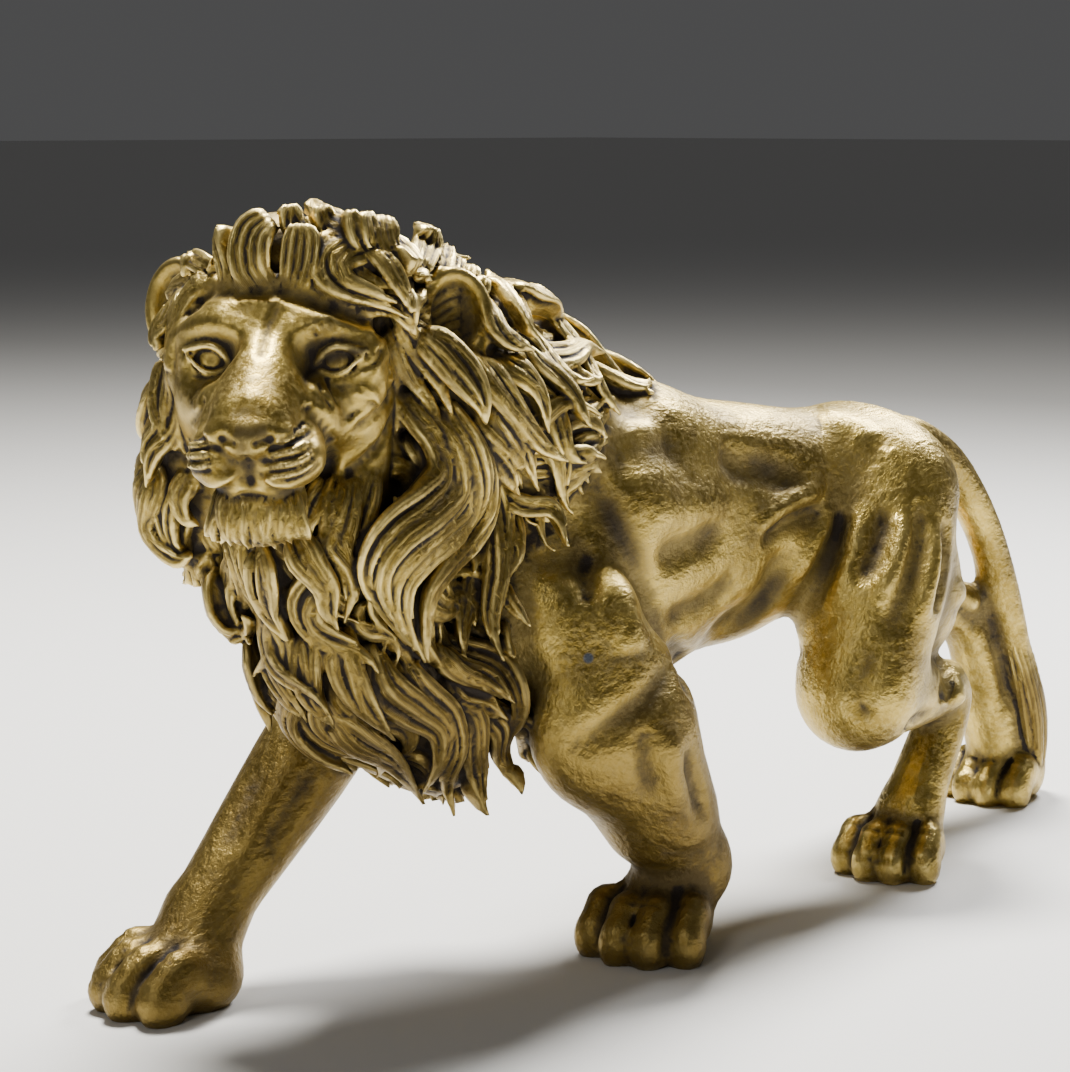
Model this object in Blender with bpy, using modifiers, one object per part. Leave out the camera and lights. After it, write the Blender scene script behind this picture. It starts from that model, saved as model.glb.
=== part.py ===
"""A walking lion, cast in one piece, with its head turned to its left and its tail down behind the right leg.

Metres, +Z up. The lion faces -X, its left side is towards -Y, and its soles stand on z = 0. It is one solid. Every
form is written in the millimetres of a lion 240 mm tall, as shares of the height: SCALE carries them to HEIGHT.
"""

import bpy
import bmesh
import numpy as np
from mathutils import Matrix, Vector

HEIGHT = 0.24
SCALE = HEIGHT / 240

GOLD = (0.56, 0.41, 0.15)
GOLD_ROUGHNESS = 0.38
GOLD_METALLIC = 0.9

# The middle of the lion's box, in the millimetres that its forms are written in. The origin stands under it.
MIDDLE = np.array([-4.3, 2.2, 0.0])

# The surface: grid size of the fused form, smoothing passes, and how many triangles stay.
GRAIN = 2.1
SMOOTHING_PASSES = 3
TRIANGLES = 9700

# The face and its turn from straight ahead towards the lion's left.
HEAD_AT = (-176, 0, 197)
HEAD_YAW = 39.5

# The viewpoint from which the locks on the front left are drawn, and its picture's pixels.
EYE = np.array([-682.0, -628.0, 263.0])
EYE_YAW = np.radians(44)
EYE_TILT = np.radians(8.45)
EYE_FOCUS_PX = 2800.0
EYE_MIDDLE_PX = (535.0, 536.0)


def unit(vectors):
    return vectors / (np.linalg.norm(vectors, axis=-1, keepdims=True) + 1e-9)


class Pose:
    """A place and a turn: forward, left and up, from straight ahead (-X) towards the lion's left (-Y)."""

    def __init__(self, at, yaw=0.0, pitch=0.0):
        yaw, pitch = np.radians(yaw), np.radians(pitch)
        self.middle = np.array(at, float)
        self.forward = np.array([-np.cos(yaw) * np.cos(pitch), -np.sin(yaw) * np.cos(pitch), np.sin(pitch)])
        self.left = np.array([np.sin(yaw), -np.cos(yaw), 0.0])
        self.up = np.cross(self.left, self.forward)
        if self.up[2] < 0:
            self.up = -self.up

    def at(self, forward, left, up):
        return self.middle + forward * self.forward + left * self.left + up * self.up

    def axes(self, pitch=0.0, yaw=0.0, roll=0.0):
        """Three rows, the axes of an ellipsoid that is turned within this pose."""
        p, y, r = np.radians(pitch), np.radians(yaw), np.radians(roll)
        forward = np.array([np.cos(p) * np.cos(y), np.cos(p) * np.sin(y), np.sin(p)])
        left = np.array([-np.sin(y), np.cos(y), 0.0])
        up = np.array([-np.sin(p) * np.cos(y), -np.sin(p) * np.sin(y), np.cos(p)])
        left, up = left * np.cos(r) + up * np.sin(r), up * np.cos(r) - left * np.sin(r)
        return np.array([forward, left, up]) @ np.array([self.forward, self.left, self.up])


STRAIGHT = Pose((0, 0, 0))
HEAD = Pose(HEAD_AT, HEAD_YAW)


def placed(point):
    return Vector((np.asarray(point, float) - MIDDLE) * SCALE)


def blob(form, at, half, axes=None):
    """Adds an ellipsoid. Its three half lengths lie along the axes."""
    axes = np.eye(3) if axes is None else axes
    if np.linalg.det(axes) < 0:
        axes = axes * np.array([[1], [-1], [1]])
    turn = Matrix((axes.T * np.array(half) * SCALE).tolist()).to_4x4()
    around = 24 if max(half) > 15 else 14
    matrix = Matrix.Translation(placed(at)) @ turn
    bmesh.ops.create_uvsphere(form, u_segments=around, v_segments=around // 2 + 2, radius=1, matrix=matrix)


def smooth_path(points, count):
    """Catmull-Rom samples through the points."""
    points = np.asarray(points, float)
    last = len(points) - 1
    padded = np.vstack([2 * points[0] - points[1], points, 2 * points[-1] - points[-2]])
    samples = []
    for place in np.linspace(0, last, count):
        i = min(int(place), last - 1)
        t = place - i
        a, b, c, d = padded[i : i + 4]
        bend = (2 * a - 5 * b + 4 * c - d) * t**2 + (3 * b - a - 3 * c + d) * t**3
        samples.append(0.5 * (2 * b + (c - a) * t + bend))
    return np.array(samples)


def limb(form, points):
    """Adds a round limb along (x, y, z, radius) points: a curve with its own radius at each point."""
    samples = smooth_path(points, 4 * len(points) - 3)
    curve = bpy.data.curves.new("limb", "CURVE")
    curve.dimensions = "3D"
    curve.bevel_depth = 1.0
    curve.bevel_resolution = 4
    curve.use_fill_caps = True
    spline = curve.splines.new("POLY")
    spline.points.add(len(samples) - 1)
    for point, sample in zip(spline.points, samples):
        point.co = (*placed(sample[:3]), 1)
        point.radius = sample[3] * SCALE
    guide = bpy.data.objects.new("limb", curve)
    bpy.context.scene.collection.objects.link(guide)
    mesh = bpy.data.meshes.new_from_object(guide.evaluated_get(bpy.context.evaluated_depsgraph_get()))
    tube = bmesh.new()
    tube.from_mesh(mesh)
    bmesh.ops.remove_doubles(tube, verts=tube.verts, dist=1e-6)
    bmesh.ops.recalc_face_normals(tube, faces=tube.faces)
    tube.to_mesh(mesh)
    tube.free()
    form.from_mesh(mesh)
    bpy.data.meshes.remove(mesh)
    bpy.data.objects.remove(guide)
    bpy.data.curves.remove(curve)
    for end in (samples[0], samples[-1]):
        blob(form, end[:3], [end[3]] * 3)


TRUNK = [
    ((-52, 0, 127), (64, 31, 50)),
    ((-92, 0, 112), (36, 29, 40)),
    ((6, 0, 127), (54, 25, 39)),
    ((84, 0, 136), (28, 27, 26)),
    ((-38, 0, 163), (26, 19, 14)),
]
BACK = [(-34, 0, 157, 22), (0, 0, 150, 20), (36, 0, 145, 20.5), (72, 0, 144, 20)]
TAIL = [
    (96, 0, 148, 10),
    (122, 9, 148, 8.5),
    (142, 10, 140, 8),
    (156, 10, 128, 7.6),
    (170, 10, 110, 7.3),
    (182, 10, 86, 7.2),
    (193, 11, 60, 7),
    (203, 13, 38, 7),
    (208, 14, 14, 7),
]


def trunk(form):
    for at, half in TRUNK:
        blob(form, at, half)
    limb(form, BACK)
    limb(form, TAIL)


def paw(form, at, heading, ankle, ankle_radius, size=1.0):
    """Adds a paw with four toes. Its heading turns from straight ahead towards the lion's left."""
    pose = Pose((*at, 0), heading)
    limb(form, [(*ankle, ankle_radius), (*pose.at(-5 * size, 0, 15 * size), 13 * size)])
    blob(form, pose.at(-5 * size, 0, 8.5 * size), np.array([17, 17.5, 13.5]) * size, pose.axes())
    for toe in (-1.5, -0.5, 0.5, 1.5):
        left = 10.3 * toe
        forward = 12.2 - 3 * toe**2
        splay = 8.7 * toe
        knuckle = pose.at((forward - 3) * size, (left - 0.08 * splay) * size, 13.5 * size)
        blob(form, knuckle, np.array([10.5, 6.0, 7.6]) * size, pose.axes(pitch=22, yaw=splay))
        tip = pose.at((forward + 4.5) * size, left * size, 6.5 * size)
        blob(form, tip, np.array([9.4, 6.3, 9.6]) * size, pose.axes(yaw=splay))


def front_leg(form, side, shoulder, elbow, wrist, thick=1.0):
    """Adds shoulder blade, upper arm and forearm. side is -1 on the lion's left and 1 on its right."""
    shoulder, elbow, wrist = np.array(shoulder), np.array(elbow), np.array(wrist)
    blade = shoulder + np.array([18, 0, 27])
    blade[1] = 0.5 * (shoulder[1] + 18 * side)
    blob(form, blade, (19, 12, 38), STRAIGHT.axes(pitch=28))
    middle = 0.62 * elbow + 0.38 * wrist
    limb(
        form,
        [(*shoulder, 19 * thick), (*elbow, 17 * thick), (*middle, 16.5 * thick), (*wrist, 12.5 * thick)],
    )


def hind_leg(form, hip, knee, hock, ankle):
    hip, knee, hock = np.array(hip), np.array(knee), np.array(hock)
    limb(form, [(*hip, 25), (*(0.5 * (hip + knee)), 25), (*knee, 19)])
    limb(form, [(*knee, 18), (*(0.5 * (knee + hock)), 13.5), (*hock, 9.5), (*ankle, 10.5)])


def legs(form):
    front_leg(form, -1, (-82, -27, 108), (-70, -33, 80), (-38, -31, 32))
    blob(form, (-76, -34, 80), (31, 18, 29))
    limb(form, [(-68, -32, 70, 21), (-54, -32, 46, 17)])
    paw(form, (-52, -30), 22, (-37, -31, 24), 14.0)

    front_leg(form, 1, (-104, 30, 104), (-124, 32, 88), (-181, 33, 27), thick=0.95)
    paw(form, (-196, 32), -12, (-184, 33, 22), 12.5)

    hind_leg(form, (78, -17, 134), (47, -31, 71), (104, -25, 60), (88, -24, 24))
    blob(form, (80, -24, 108), (24, 15, 34), STRAIGHT.axes(pitch=-30))
    blob(form, (58, -28, 84), (21, 15, 24), STRAIGHT.axes(pitch=-20))
    blob(form, (106, -24, 64), (7, 7, 9))
    paw(form, (80, -23), 18, (86, -24, 20), 11.0, size=0.92)

    hind_leg(form, (82, 17, 134), (112, 25, 96), (172, 20, 74), (190, 19, 28))
    paw(form, (196, 19), 5, (194, 19, 18), 10.5, size=0.9)


SKULL = (HEAD.at(-14, 0, 2), (33, 30.5, 26), HEAD.axes())


def head(form):
    axes = HEAD.axes()
    blob(form, *SKULL)
    blob(form, HEAD.at(9, 0, 10), (14, 21, 11), axes)
    limb(form, [(*HEAD.at(17, 0, 4), 8.5), (*HEAD.at(30, 0, -3), 8.5), (*HEAD.at(47, 0, -15), 6.8)])
    blob(form, HEAD.at(29, 0, -22), (21, 17.5, 12), axes)
    blob(form, HEAD.at(52, 0, -17.5), (5, 7.6, 5), HEAD.axes(pitch=-20))
    blob(form, HEAD.at(30, 0, -39), (16, 12, 7), axes)
    blob(form, HEAD.at(38, 0, -43), (10, 12.5, 9.5), axes)
    for side in (-1, 1):
        brow = [(20, 6, 8), (17, 16, 9.5), (8, 24, 4)]
        limb(form, [(*HEAD.at(forward, side * left, up), 5) for forward, left, up in brow])
        blob(form, HEAD.at(4, side * 17, -11), (20, 13.5, 17), axes)
        blob(form, HEAD.at(-8, side * 19, -24), (18, 11, 18), axes)
        blob(form, HEAD.at(39, side * 9.5, -25.5), (12.5, 11.5, 10), HEAD.axes(yaw=side * 14))
        blob(form, HEAD.at(15.2, side * 18, 0.6), (7, 7, 7))
        ear(form, side)


def ear_middle(side):
    """The left ear stands clear of the hair. The right one is laid further back."""
    return HEAD.at(-23, 46, 9) if side > 0 else HEAD.at(-31, -38, 11)


def ear(form, side):
    """Adds a round ear, a ring round a hollow that faces forward and out."""
    pose = Pose(ear_middle(side), HEAD_YAW + side * 28, 8)
    blob(form, pose.at(-5, 0, 0), (5, 9, 10), pose.axes())
    rim = []
    for step in range(13):
        angle = 2 * np.pi * step / 12
        rim.append((*pose.at(1, 9 * np.cos(angle), 10.5 * np.sin(angle)), 2.4))
    limb(form, rim)


# The mass under the mane: middle, half lengths and axes.
MANE = [
    (HEAD.at(-24, 0, 3), (24, 38, 27), HEAD.axes()),
    (HEAD.at(-16, -27, -28), (15, 17, 34), HEAD.axes()),
    ((-122, 3, 180), (38, 32, 37), np.eye(3)),
    ((-84, 0, 165), (34, 27, 29), np.eye(3)),
    ((-160, 0, 148), (29, 28, 32), np.eye(3)),
    ((-148, 2, 114), (28, 26, 36), np.eye(3)),
    ((-122, -1, 90), (22, 21, 24), np.eye(3)),
]
# What the locks lie on: the mane's mass, the skull, the chest and the shoulders.
UNDER = MANE + [
    SKULL,
    ((-52, 0, 127), (64, 31, 50), np.eye(3)),
    ((-92, 0, 112), (36, 29, 40), np.eye(3)),
    ((-84, -30, 104), (26, 17, 28), np.eye(3)),
    ((-100, 30, 104), (24, 16, 28), np.eye(3)),
]


def depth(points, blend=10.0):
    """How far points are outside what the locks lie on. It is below zero inside."""
    least = None
    for at, half, axes in UNDER:
        turned = (points - np.array(at)) @ np.array(axes).T
        half = np.array(half, float)
        near = np.sqrt(((turned / half) ** 2).sum(-1))
        slope = np.sqrt(((turned / half**2) ** 2).sum(-1)) + 1e-9
        own = near * (near - 1) / slope
        if least is None:
            least = own
        else:
            overlap = np.maximum(blend - np.abs(least - own), 0) / blend
            least = np.minimum(least, own) - overlap**2 * blend / 4
    return least


def normal(points):
    shifts = 0.5 * np.eye(3)
    return unit(np.stack([depth(points + shift) - depth(points - shift) for shift in shifts], -1))


def flow(points):
    """The way the hair lies: away from the face, back over the neck, and down on the chest."""
    away = unit(points - HEAD.at(6, 0, -6))
    low = np.clip((178 - points[:, 2]) / 60, 0, 1)[:, None]
    return 0.9 * away + (1 - 0.85 * low) * np.array([0.9, 0, -0.25]) + low * np.array([0.12, 0, -1.1])


def trace(roots, lengths, sway, phase, low, high, count=15):
    """Follows the flow from each root, swaying from side to side and rising from low to high off the mass."""
    points = roots.copy()
    path, normals = [], []
    for step in range(count):
        t = step / (count - 1)
        out = normal(points)
        lift = low + (high - low) * t**0.8
        points = points - (depth(points) - lift)[:, None] * out
        path.append(points.copy())
        normals.append(out)
        along = flow(points)
        along = unit(along - (along * out).sum(1, keepdims=True) * out)
        across = np.cross(out, along)
        bend = sway * np.sin(2 * np.pi * (0.1 + 0.9 * t) + phase)
        along = along * np.cos(bend)[:, None] + across * np.sin(bend)[:, None]
        points = points + along * (lengths / (count - 1))[:, None]
    return np.stack(path, 1), np.stack(normals, 1)


# Locks spread over the whole mane: spacing of their roots, length, half width, and rise off the mass.
ROOT_SPACING = 12.0
LOCK_LENGTH = 44.0
LOCK_HALF_WIDTH = 6.8
LOCK_FLATNESS = 0.6
LOCK_SWAY = 0.5
LOCK_RISE = (-2.5, 6.0)
TRIED_ROOTS = 700
EAR_ROOM = 17.0


def in_mane(points):
    """Whether points are where hair grows: behind the face, clear of the ears, ahead of the shoulders."""
    local = (points - HEAD.middle) @ np.array([HEAD.forward, HEAD.left, HEAD.up]).T
    face = (local[:, 0] > -4) & (np.abs(local[:, 1]) < 33) & (local[:, 2] > -46)
    ears = [np.linalg.norm(points - ear_middle(side), axis=1) < EAR_ROOM for side in (-1, 1)]
    back = -93 + 22 * np.clip((points[:, 2] - 150) / 40, -1, 1)
    return ~face & ~ears[0] & ~ears[1] & (points[:, 0] < back) & (points[:, 2] > 62)


def mane_roots(rng):
    """Roots all over the mane, no two of them nearer than their spacing."""
    kept = np.empty((0, 3))
    for at, half, axes in MANE:
        way = unit(rng.normal(size=(TRIED_ROOTS, 3)))
        points = np.array(at) + (way * np.array(half)) @ np.array(axes)
        points = points[depth(points) > -6]
        points = points - depth(points)[:, None] * normal(points)
        for point in points[in_mane(points)]:
            if not len(kept) or np.linalg.norm(kept - point, axis=1).min() > ROOT_SPACING:
                kept = np.vstack([kept, point])
    return kept


# Locks that stand out singly, each drawn down its middle in the view's pixels: the middle's points, half width, and
# rise off the mass at root and tip.
DRAWN_LOCKS = {
    "forelock 1": ([(262, 285), (240, 262), (238, 232), (258, 214), (276, 222)], 8.0, 2, 12),
    "forelock 2": ([(296, 282), (284, 250), (290, 220), (306, 204)], 7.5, 3, 14),
    "forelock 3": ([(318, 262), (340, 246), (372, 262), (394, 300), (404, 330)], 8.5, 3, 8),
    "forelock 4": ([(318, 290), (350, 300), (380, 306), (396, 316)], 6.0, 2, 6),
    "forelock 5": ([(322, 240), (352, 230), (384, 244), (410, 272)], 7.0, 3, 10),
    "crown 1": ([(200, 300), (192, 280), (192, 264), (184, 256)], 5.5, 2, 10),
    "crown 2": ([(218, 290), (212, 260), (216, 240), (214, 226)], 6.0, 2, 12),
    "cheek 1": ([(396, 316), (416, 350), (446, 386), (470, 430), (476, 470)], 7.5, 3, 9),
    "cheek 2": ([(408, 350), (424, 384), (440, 410), (444, 440)], 6.0, 4, 10),
    "great curl": (
        [(404, 372), (420, 420), (452, 460), (468, 500), (440, 545), (398, 575), (388, 610), (427, 664)],
        10.5,
        3,
        11,
    ),
    "inner curl": ([(398, 400), (408, 450), (420, 490), (404, 530), (376, 560), (368, 590), (392, 640)], 8, 1, 8),
    "outer curl": ([(424, 380), (460, 440), (486, 500), (478, 545), (446, 575), (444, 604)], 8.0, 2, 9),
    "side 1": ([(480, 470), (496, 530), (492, 590), (494, 646)], 7.0, 1, 8),
    "side 2": ([(462, 570), (468, 620), (480, 665), (508, 700)], 7.0, 1, 8),
    "side 3": ([(440, 600), (436, 650), (446, 690), (490, 716)], 7.0, 1, 8),
    "nape 1": ([(456, 330), (500, 340), (560, 352), (620, 366), (650, 384), (688, 439)], 6.5, 2, 9),
    "nape 2": ([(540, 330), (590, 350), (622, 372), (644, 409)], 6.0, 1, 8),
    "nape 3": ([(500, 350), (560, 368), (600, 386), (620, 412)], 6.0, 1, 8),
    "nape 4": ([(480, 360), (540, 380), (570, 396), (590, 425)], 6.0, 1, 8),
    "nape 5": ([(470, 380), (510, 392), (535, 410), (550, 432)], 6.0, 1, 8),
    "nape 6": ([(470, 400), (500, 420), (530, 440), (566, 462)], 6.0, 1, 8),
    "nape 7": ([(470, 430), (496, 470), (510, 500), (552, 515), (568, 547)], 5.5, 1, 10),
    "beard 1": ([(224, 548), (212, 580), (216, 612), (234, 625), (240, 612)], 6.0, 2, 7),
    "beard 2": ([(250, 552), (240, 590), (246, 620), (238, 656)], 6.5, 2, 7),
    "beard 3": ([(290, 540), (300, 570), (326, 596), (322, 628)], 7.0, 2, 8),
    "beard 4": ([(330, 510), (352, 545), (346, 590), (352, 620)], 6.0, 1, 6),
    "chest 1": ([(262, 640), (256, 670), (264, 700), (300, 716)], 6.5, 1, 7),
    "chest 2": ([(290, 630), (296, 668), (318, 706), (350, 745)], 8.0, 1, 8),
    "chest 3": ([(330, 625), (340, 680), (366, 730), (410, 780), (430, 806)], 9.0, 2, 9),
    "chest 4": ([(380, 660), (390, 710), (420, 750), (453, 816)], 8.0, 1, 8),
    "chest 5": ([(420, 690), (440, 730), (464, 770), (487, 816)], 7.5, 1, 8),
    "chest 6": ([(452, 700), (486, 740), (510, 762), (524, 793)], 7.5, 1, 8),
    "chest 7": ([(480, 710), (520, 735), (536, 752), (548, 768)], 6.5, 1, 8),
    "far side 1": ([(184, 320), (166, 336), (156, 352), (162, 372)], 6.0, 2, 8),
    "far side 2": ([(176, 380), (164, 410), (160, 440), (152, 470)], 6.5, 2, 7),
    "far side 3": ([(170, 440), (158, 480), (152, 520), (178, 556)], 7.0, 2, 7),
    "far side 4": ([(200, 500), (190, 530), (196, 560), (206, 590)], 6.0, 1, 7),
}
SAMPLES_PER_POINT = 5
MOST_RISE = 14.0


def seen_at(pixels):
    """Where the lines of sight through the view's pixels meet the mass, or pass nearest to it."""
    ahead = np.array(
        [np.sin(EYE_YAW) * np.cos(EYE_TILT), np.cos(EYE_YAW) * np.cos(EYE_TILT), -np.sin(EYE_TILT)]
    )
    right = np.array([np.cos(EYE_YAW), -np.sin(EYE_YAW), 0.0])
    upward = np.cross(right, ahead)
    found = []
    for u, v in pixels:
        across = (u - EYE_MIDDLE_PX[0]) / EYE_FOCUS_PX
        down = (v - EYE_MIDDLE_PX[1]) / EYE_FOCUS_PX
        ray = unit(ahead + across * right - down * upward)
        line = EYE + ray * np.arange(600.0, 1150.0)[:, None]
        outside = depth(line)
        inside = np.flatnonzero(outside < 0)
        found.append(line[inside[0] if len(inside) else np.argmin(outside)])
    return np.array(found)


def drawn_path(pixels, low, high):
    """The smooth path of a drawn lock over the mass, and the way out of the mass along it."""
    path = smooth_path(seen_at(pixels), SAMPLES_PER_POINT * len(pixels) + 1)
    lift = low + (high - low) * np.linspace(0, 1, len(path)) ** 0.8
    out, outside = normal(path), depth(path)
    lift = np.maximum(lift, np.minimum(outside, MOST_RISE))
    return path + (lift - outside)[:, None] * out, out


def lock(form, path, normals, half_width, half_thick):
    """Adds a lock: a loft of flat oval sections that swells from its root and runs out to a point."""
    along = unit(np.gradient(path, axis=0))
    across = unit(np.cross(normals, along))
    out = np.cross(along, across)
    t = np.linspace(0, 1, len(path))
    swell = np.minimum(1, 0.45 + 2.0 * t) * (1 - t**2.6) ** 0.75
    rings = []
    for i in range(len(path)):
        wide = max(half_width * swell[i], 0.9)
        thick = max(half_thick * swell[i] ** 0.7, 0.9)
        ring = []
        for corner in range(8):
            angle = 2 * np.pi * corner / 8
            point = path[i] + wide * np.cos(angle) * across[i] + thick * np.sin(angle) * out[i]
            ring.append(form.verts.new(placed(point)))
        rings.append(ring)
    for first, second in zip(rings, rings[1:]):
        for corner in range(8):
            beside = (corner + 1) % 8
            form.faces.new((first[corner], first[beside], second[beside], second[corner]))
    form.faces.new(rings[0][::-1])
    form.faces.new(rings[-1])


def mane(form):
    for at, half, axes in MANE:
        blob(form, at, half, axes)
    drawn = []
    for pixels, half_width, low, high in DRAWN_LOCKS.values():
        path, out = drawn_path(pixels, low, high)
        drawn.append(path)
        lock(form, path, out, half_width, 0.55 * half_width)
    rng = np.random.default_rng(11)
    roots = mane_roots(rng)
    count = len(roots)
    waves = 2.2 * np.sin(roots[:, 0] / 21) + 1.9 * np.sin(roots[:, 1] / 17 + roots[:, 2] / 27)
    paths, normals = trace(
        roots,
        LOCK_LENGTH * rng.uniform(0.8, 1.2, count),
        LOCK_SWAY * rng.uniform(0.6, 1.4, count),
        waves + rng.uniform(-0.9, 0.9, count),
        LOCK_RISE[0],
        LOCK_RISE[1] * rng.uniform(0.6, 1.4, count),
    )
    widths = LOCK_HALF_WIDTH * rng.uniform(0.8, 1.2, count)
    drawn = np.vstack(drawn)
    for path, out, half_width in zip(paths, normals, widths):
        middle = path[len(path) // 2]
        if np.linalg.norm(drawn - middle, axis=1).min() > half_width:
            lock(form, path, out, half_width, LOCK_FLATNESS * half_width)


def fused(name, mesh, collection, material):
    """One closed skin round all the forms: remeshed, smoothed, thinned, and cut flat at the soles."""
    work = bpy.data.objects.new(name, mesh)
    collection.objects.link(work)
    remesh = work.modifiers.new("Remesh", "REMESH")
    remesh.mode = "VOXEL"
    remesh.voxel_size = GRAIN * SCALE
    smooth = work.modifiers.new("Smooth", "SMOOTH")
    smooth.factor = 0.5
    smooth.iterations = SMOOTHING_PASSES
    skin = bpy.data.meshes.new_from_object(work.evaluated_get(bpy.context.evaluated_depsgraph_get()))
    keep_outer_skin(skin)
    work.modifiers.clear()
    work.data = skin
    decimate = work.modifiers.new("Decimate", "DECIMATE")
    decimate.use_collapse_triangulate = True
    triangles = 2 * len(skin.polygons)
    decimate.ratio = TRIANGLES / triangles
    thinned = bpy.data.meshes.new_from_object(work.evaluated_get(bpy.context.evaluated_depsgraph_get()))
    work.modifiers.clear()
    cut_soles(thinned)
    keep_outer_skin(thinned)
    work.data = thinned
    thinned.name = name
    thinned.materials.append(material)
    thinned.shade_smooth()
    for unused in (mesh, skin):
        bpy.data.meshes.remove(unused)
    return work


def keep_outer_skin(mesh):
    """Keeps the largest connected skin, and drops loose crumbs and the walls of sealed pockets."""
    skin = bmesh.new()
    skin.from_mesh(mesh)
    left = set(skin.verts)
    islands = []
    while left:
        island, edge = set(), {left.pop()}
        while edge:
            vert = edge.pop()
            island.add(vert)
            for link in vert.link_edges:
                other = link.other_vert(vert)
                if other in left:
                    left.discard(other)
                    edge.add(other)
        islands.append(island)
    islands.sort(key=len)
    for island in islands[:-1]:
        bmesh.ops.delete(skin, geom=list(island), context="VERTS")
    skin.to_mesh(mesh)
    skin.free()


def cut_soles(mesh):
    """Cuts the skin off flat at the ground and closes the soles."""
    skin = bmesh.new()
    skin.from_mesh(mesh)
    geom = list(skin.verts) + list(skin.edges) + list(skin.faces)
    cut = bmesh.ops.bisect_plane(
        skin, geom=geom, dist=1e-7, plane_co=(0, 0, 0), plane_no=(0, 0, -1), clear_outer=True
    )
    edges = [item for item in cut["geom_cut"] if isinstance(item, bmesh.types.BMEdge)]
    bmesh.ops.holes_fill(skin, edges=edges, sides=0)
    bmesh.ops.recalc_face_normals(skin, faces=skin.faces)
    skin.to_mesh(mesh)
    skin.free()


def gold():
    material = bpy.data.materials.new("antique gold")
    material.use_nodes = True
    shader = material.node_tree.nodes["Principled BSDF"]
    shader.inputs["Base Color"].default_value = (*GOLD, 1)
    shader.inputs["Roughness"].default_value = GOLD_ROUGHNESS
    shader.inputs["Metallic"].default_value = GOLD_METALLIC
    material.diffuse_color = (*GOLD, 1)
    return material


def main():
    for obj in list(bpy.data.objects):
        bpy.data.objects.remove(obj)
    collection = bpy.data.collections.new("Lion sculpture")
    bpy.context.scene.collection.children.link(collection)
    form = bmesh.new()
    trunk(form)
    legs(form)
    mane(form)
    head(form)
    mesh = bpy.data.meshes.new("forms")
    form.to_mesh(mesh)
    form.free()
    fused("lion", mesh, collection, gold())


main()
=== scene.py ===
"""The look of the walking lion: its carved surface, worn antique gold, the floor, the light and the camera.

The surface is sculpted on a grid of distances. The solid's forms are joined softly, then come the muscles,
the locks of hair strand by strand, and the face. Lengths are the millimetres of a lion 240 mm tall, as in
the solid's source.
"""

import bmesh
import bpy
import numpy as np
import openvdb
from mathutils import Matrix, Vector

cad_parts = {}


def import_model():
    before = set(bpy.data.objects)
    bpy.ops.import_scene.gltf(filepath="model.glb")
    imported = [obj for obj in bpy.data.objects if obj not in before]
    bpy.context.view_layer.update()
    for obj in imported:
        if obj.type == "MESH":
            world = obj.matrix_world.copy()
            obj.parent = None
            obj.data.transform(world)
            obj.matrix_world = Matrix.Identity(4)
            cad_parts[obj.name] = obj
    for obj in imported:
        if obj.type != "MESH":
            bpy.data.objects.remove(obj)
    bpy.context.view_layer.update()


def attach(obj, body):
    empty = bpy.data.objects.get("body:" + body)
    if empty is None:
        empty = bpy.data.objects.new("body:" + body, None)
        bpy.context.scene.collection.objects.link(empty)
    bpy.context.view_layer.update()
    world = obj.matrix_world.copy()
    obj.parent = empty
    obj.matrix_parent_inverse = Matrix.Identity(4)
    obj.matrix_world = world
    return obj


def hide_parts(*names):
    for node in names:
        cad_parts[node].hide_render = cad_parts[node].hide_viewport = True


HEIGHT = 0.24
SCALE = HEIGHT / 240
# The middle of the lion's box, in the millimetres that its forms are written in. The origin stands under it.
MIDDLE = np.array([-4.3, 2.2, 0.0])

GRID_LOW = (-232, -63, -3)
GRID_HIGH = (224, 67, 251)
FULL_STEP = 0.65
# The distance that the empty grid starts with.
FAR = 9.0
# The surface is thinned to this many triangles, and its face is spared by this much.
TRIANGLES = 195000
FACE_SPARED = 1.0
# A form's fillet, where none is given: its share of the form's half thickness, and its limits.
BLOB_BLEND = (0.35, 1.2)
LIMB_BLEND = (0.5, 1.0)
MOST_BLEND = 12
# How many of its widths a groove reaches to each side.
GROOVE_REACH = 2.6

# The face and its turn from straight ahead towards the lion's left.
HEAD_AT = (-176, 0, 197)
HEAD_YAW = 39.5

# The photograph's viewpoint and its picture's pixels.
EYE = np.array([-682.0, -628.0, 263.0])
EYE_YAW = np.radians(44)
EYE_TILT = np.radians(8.45)
EYE_FOCUS_PX = 2800.0
EYE_MIDDLE_PX = (535.0, 536.0)
PICTURE_WIDTH_PX = 1070
SENSOR_WIDTH = 36.0
# The distances from the eye at which its lines of sight are tried: for the surface, and for the mane's mass.
SURFACE_REACH = np.arange(620.0, 1180.0, 0.5)
MASS_REACH = np.arange(650.0, 1150.0, 1.5)

# The axes of a form that isn't turned.
UPRIGHT = np.eye(3)


def unit(vectors):
    return vectors / (np.linalg.norm(vectors, axis=-1, keepdims=True) + 1e-9)


def nearest_along(a, b, x, y, z):
    """The share of the way from a to b that is nearest to each grid point, and the distance to it."""
    way = b - a
    dx, dy, dz = x - a[0], y - a[1], z - a[2]
    share = np.clip((dx * way[0] + dy * way[1] + dz * way[2]) / max(way @ way, 1e-6), 0, 1)
    dx, dy, dz = dx - share * way[0], dy - share * way[1], dz - share * way[2]
    return share, np.sqrt(dx * dx + dy * dy + dz * dz)


def coming_in(place, fade):
    """A value that rises from 0 to 1 over the fade's share of a path at both of its ends."""
    if not fade:
        return 1.0
    rise = np.clip(np.minimum(place, 1 - place) / fade, 0, 1)
    return rise * rise * (3 - 2 * rise)


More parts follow.
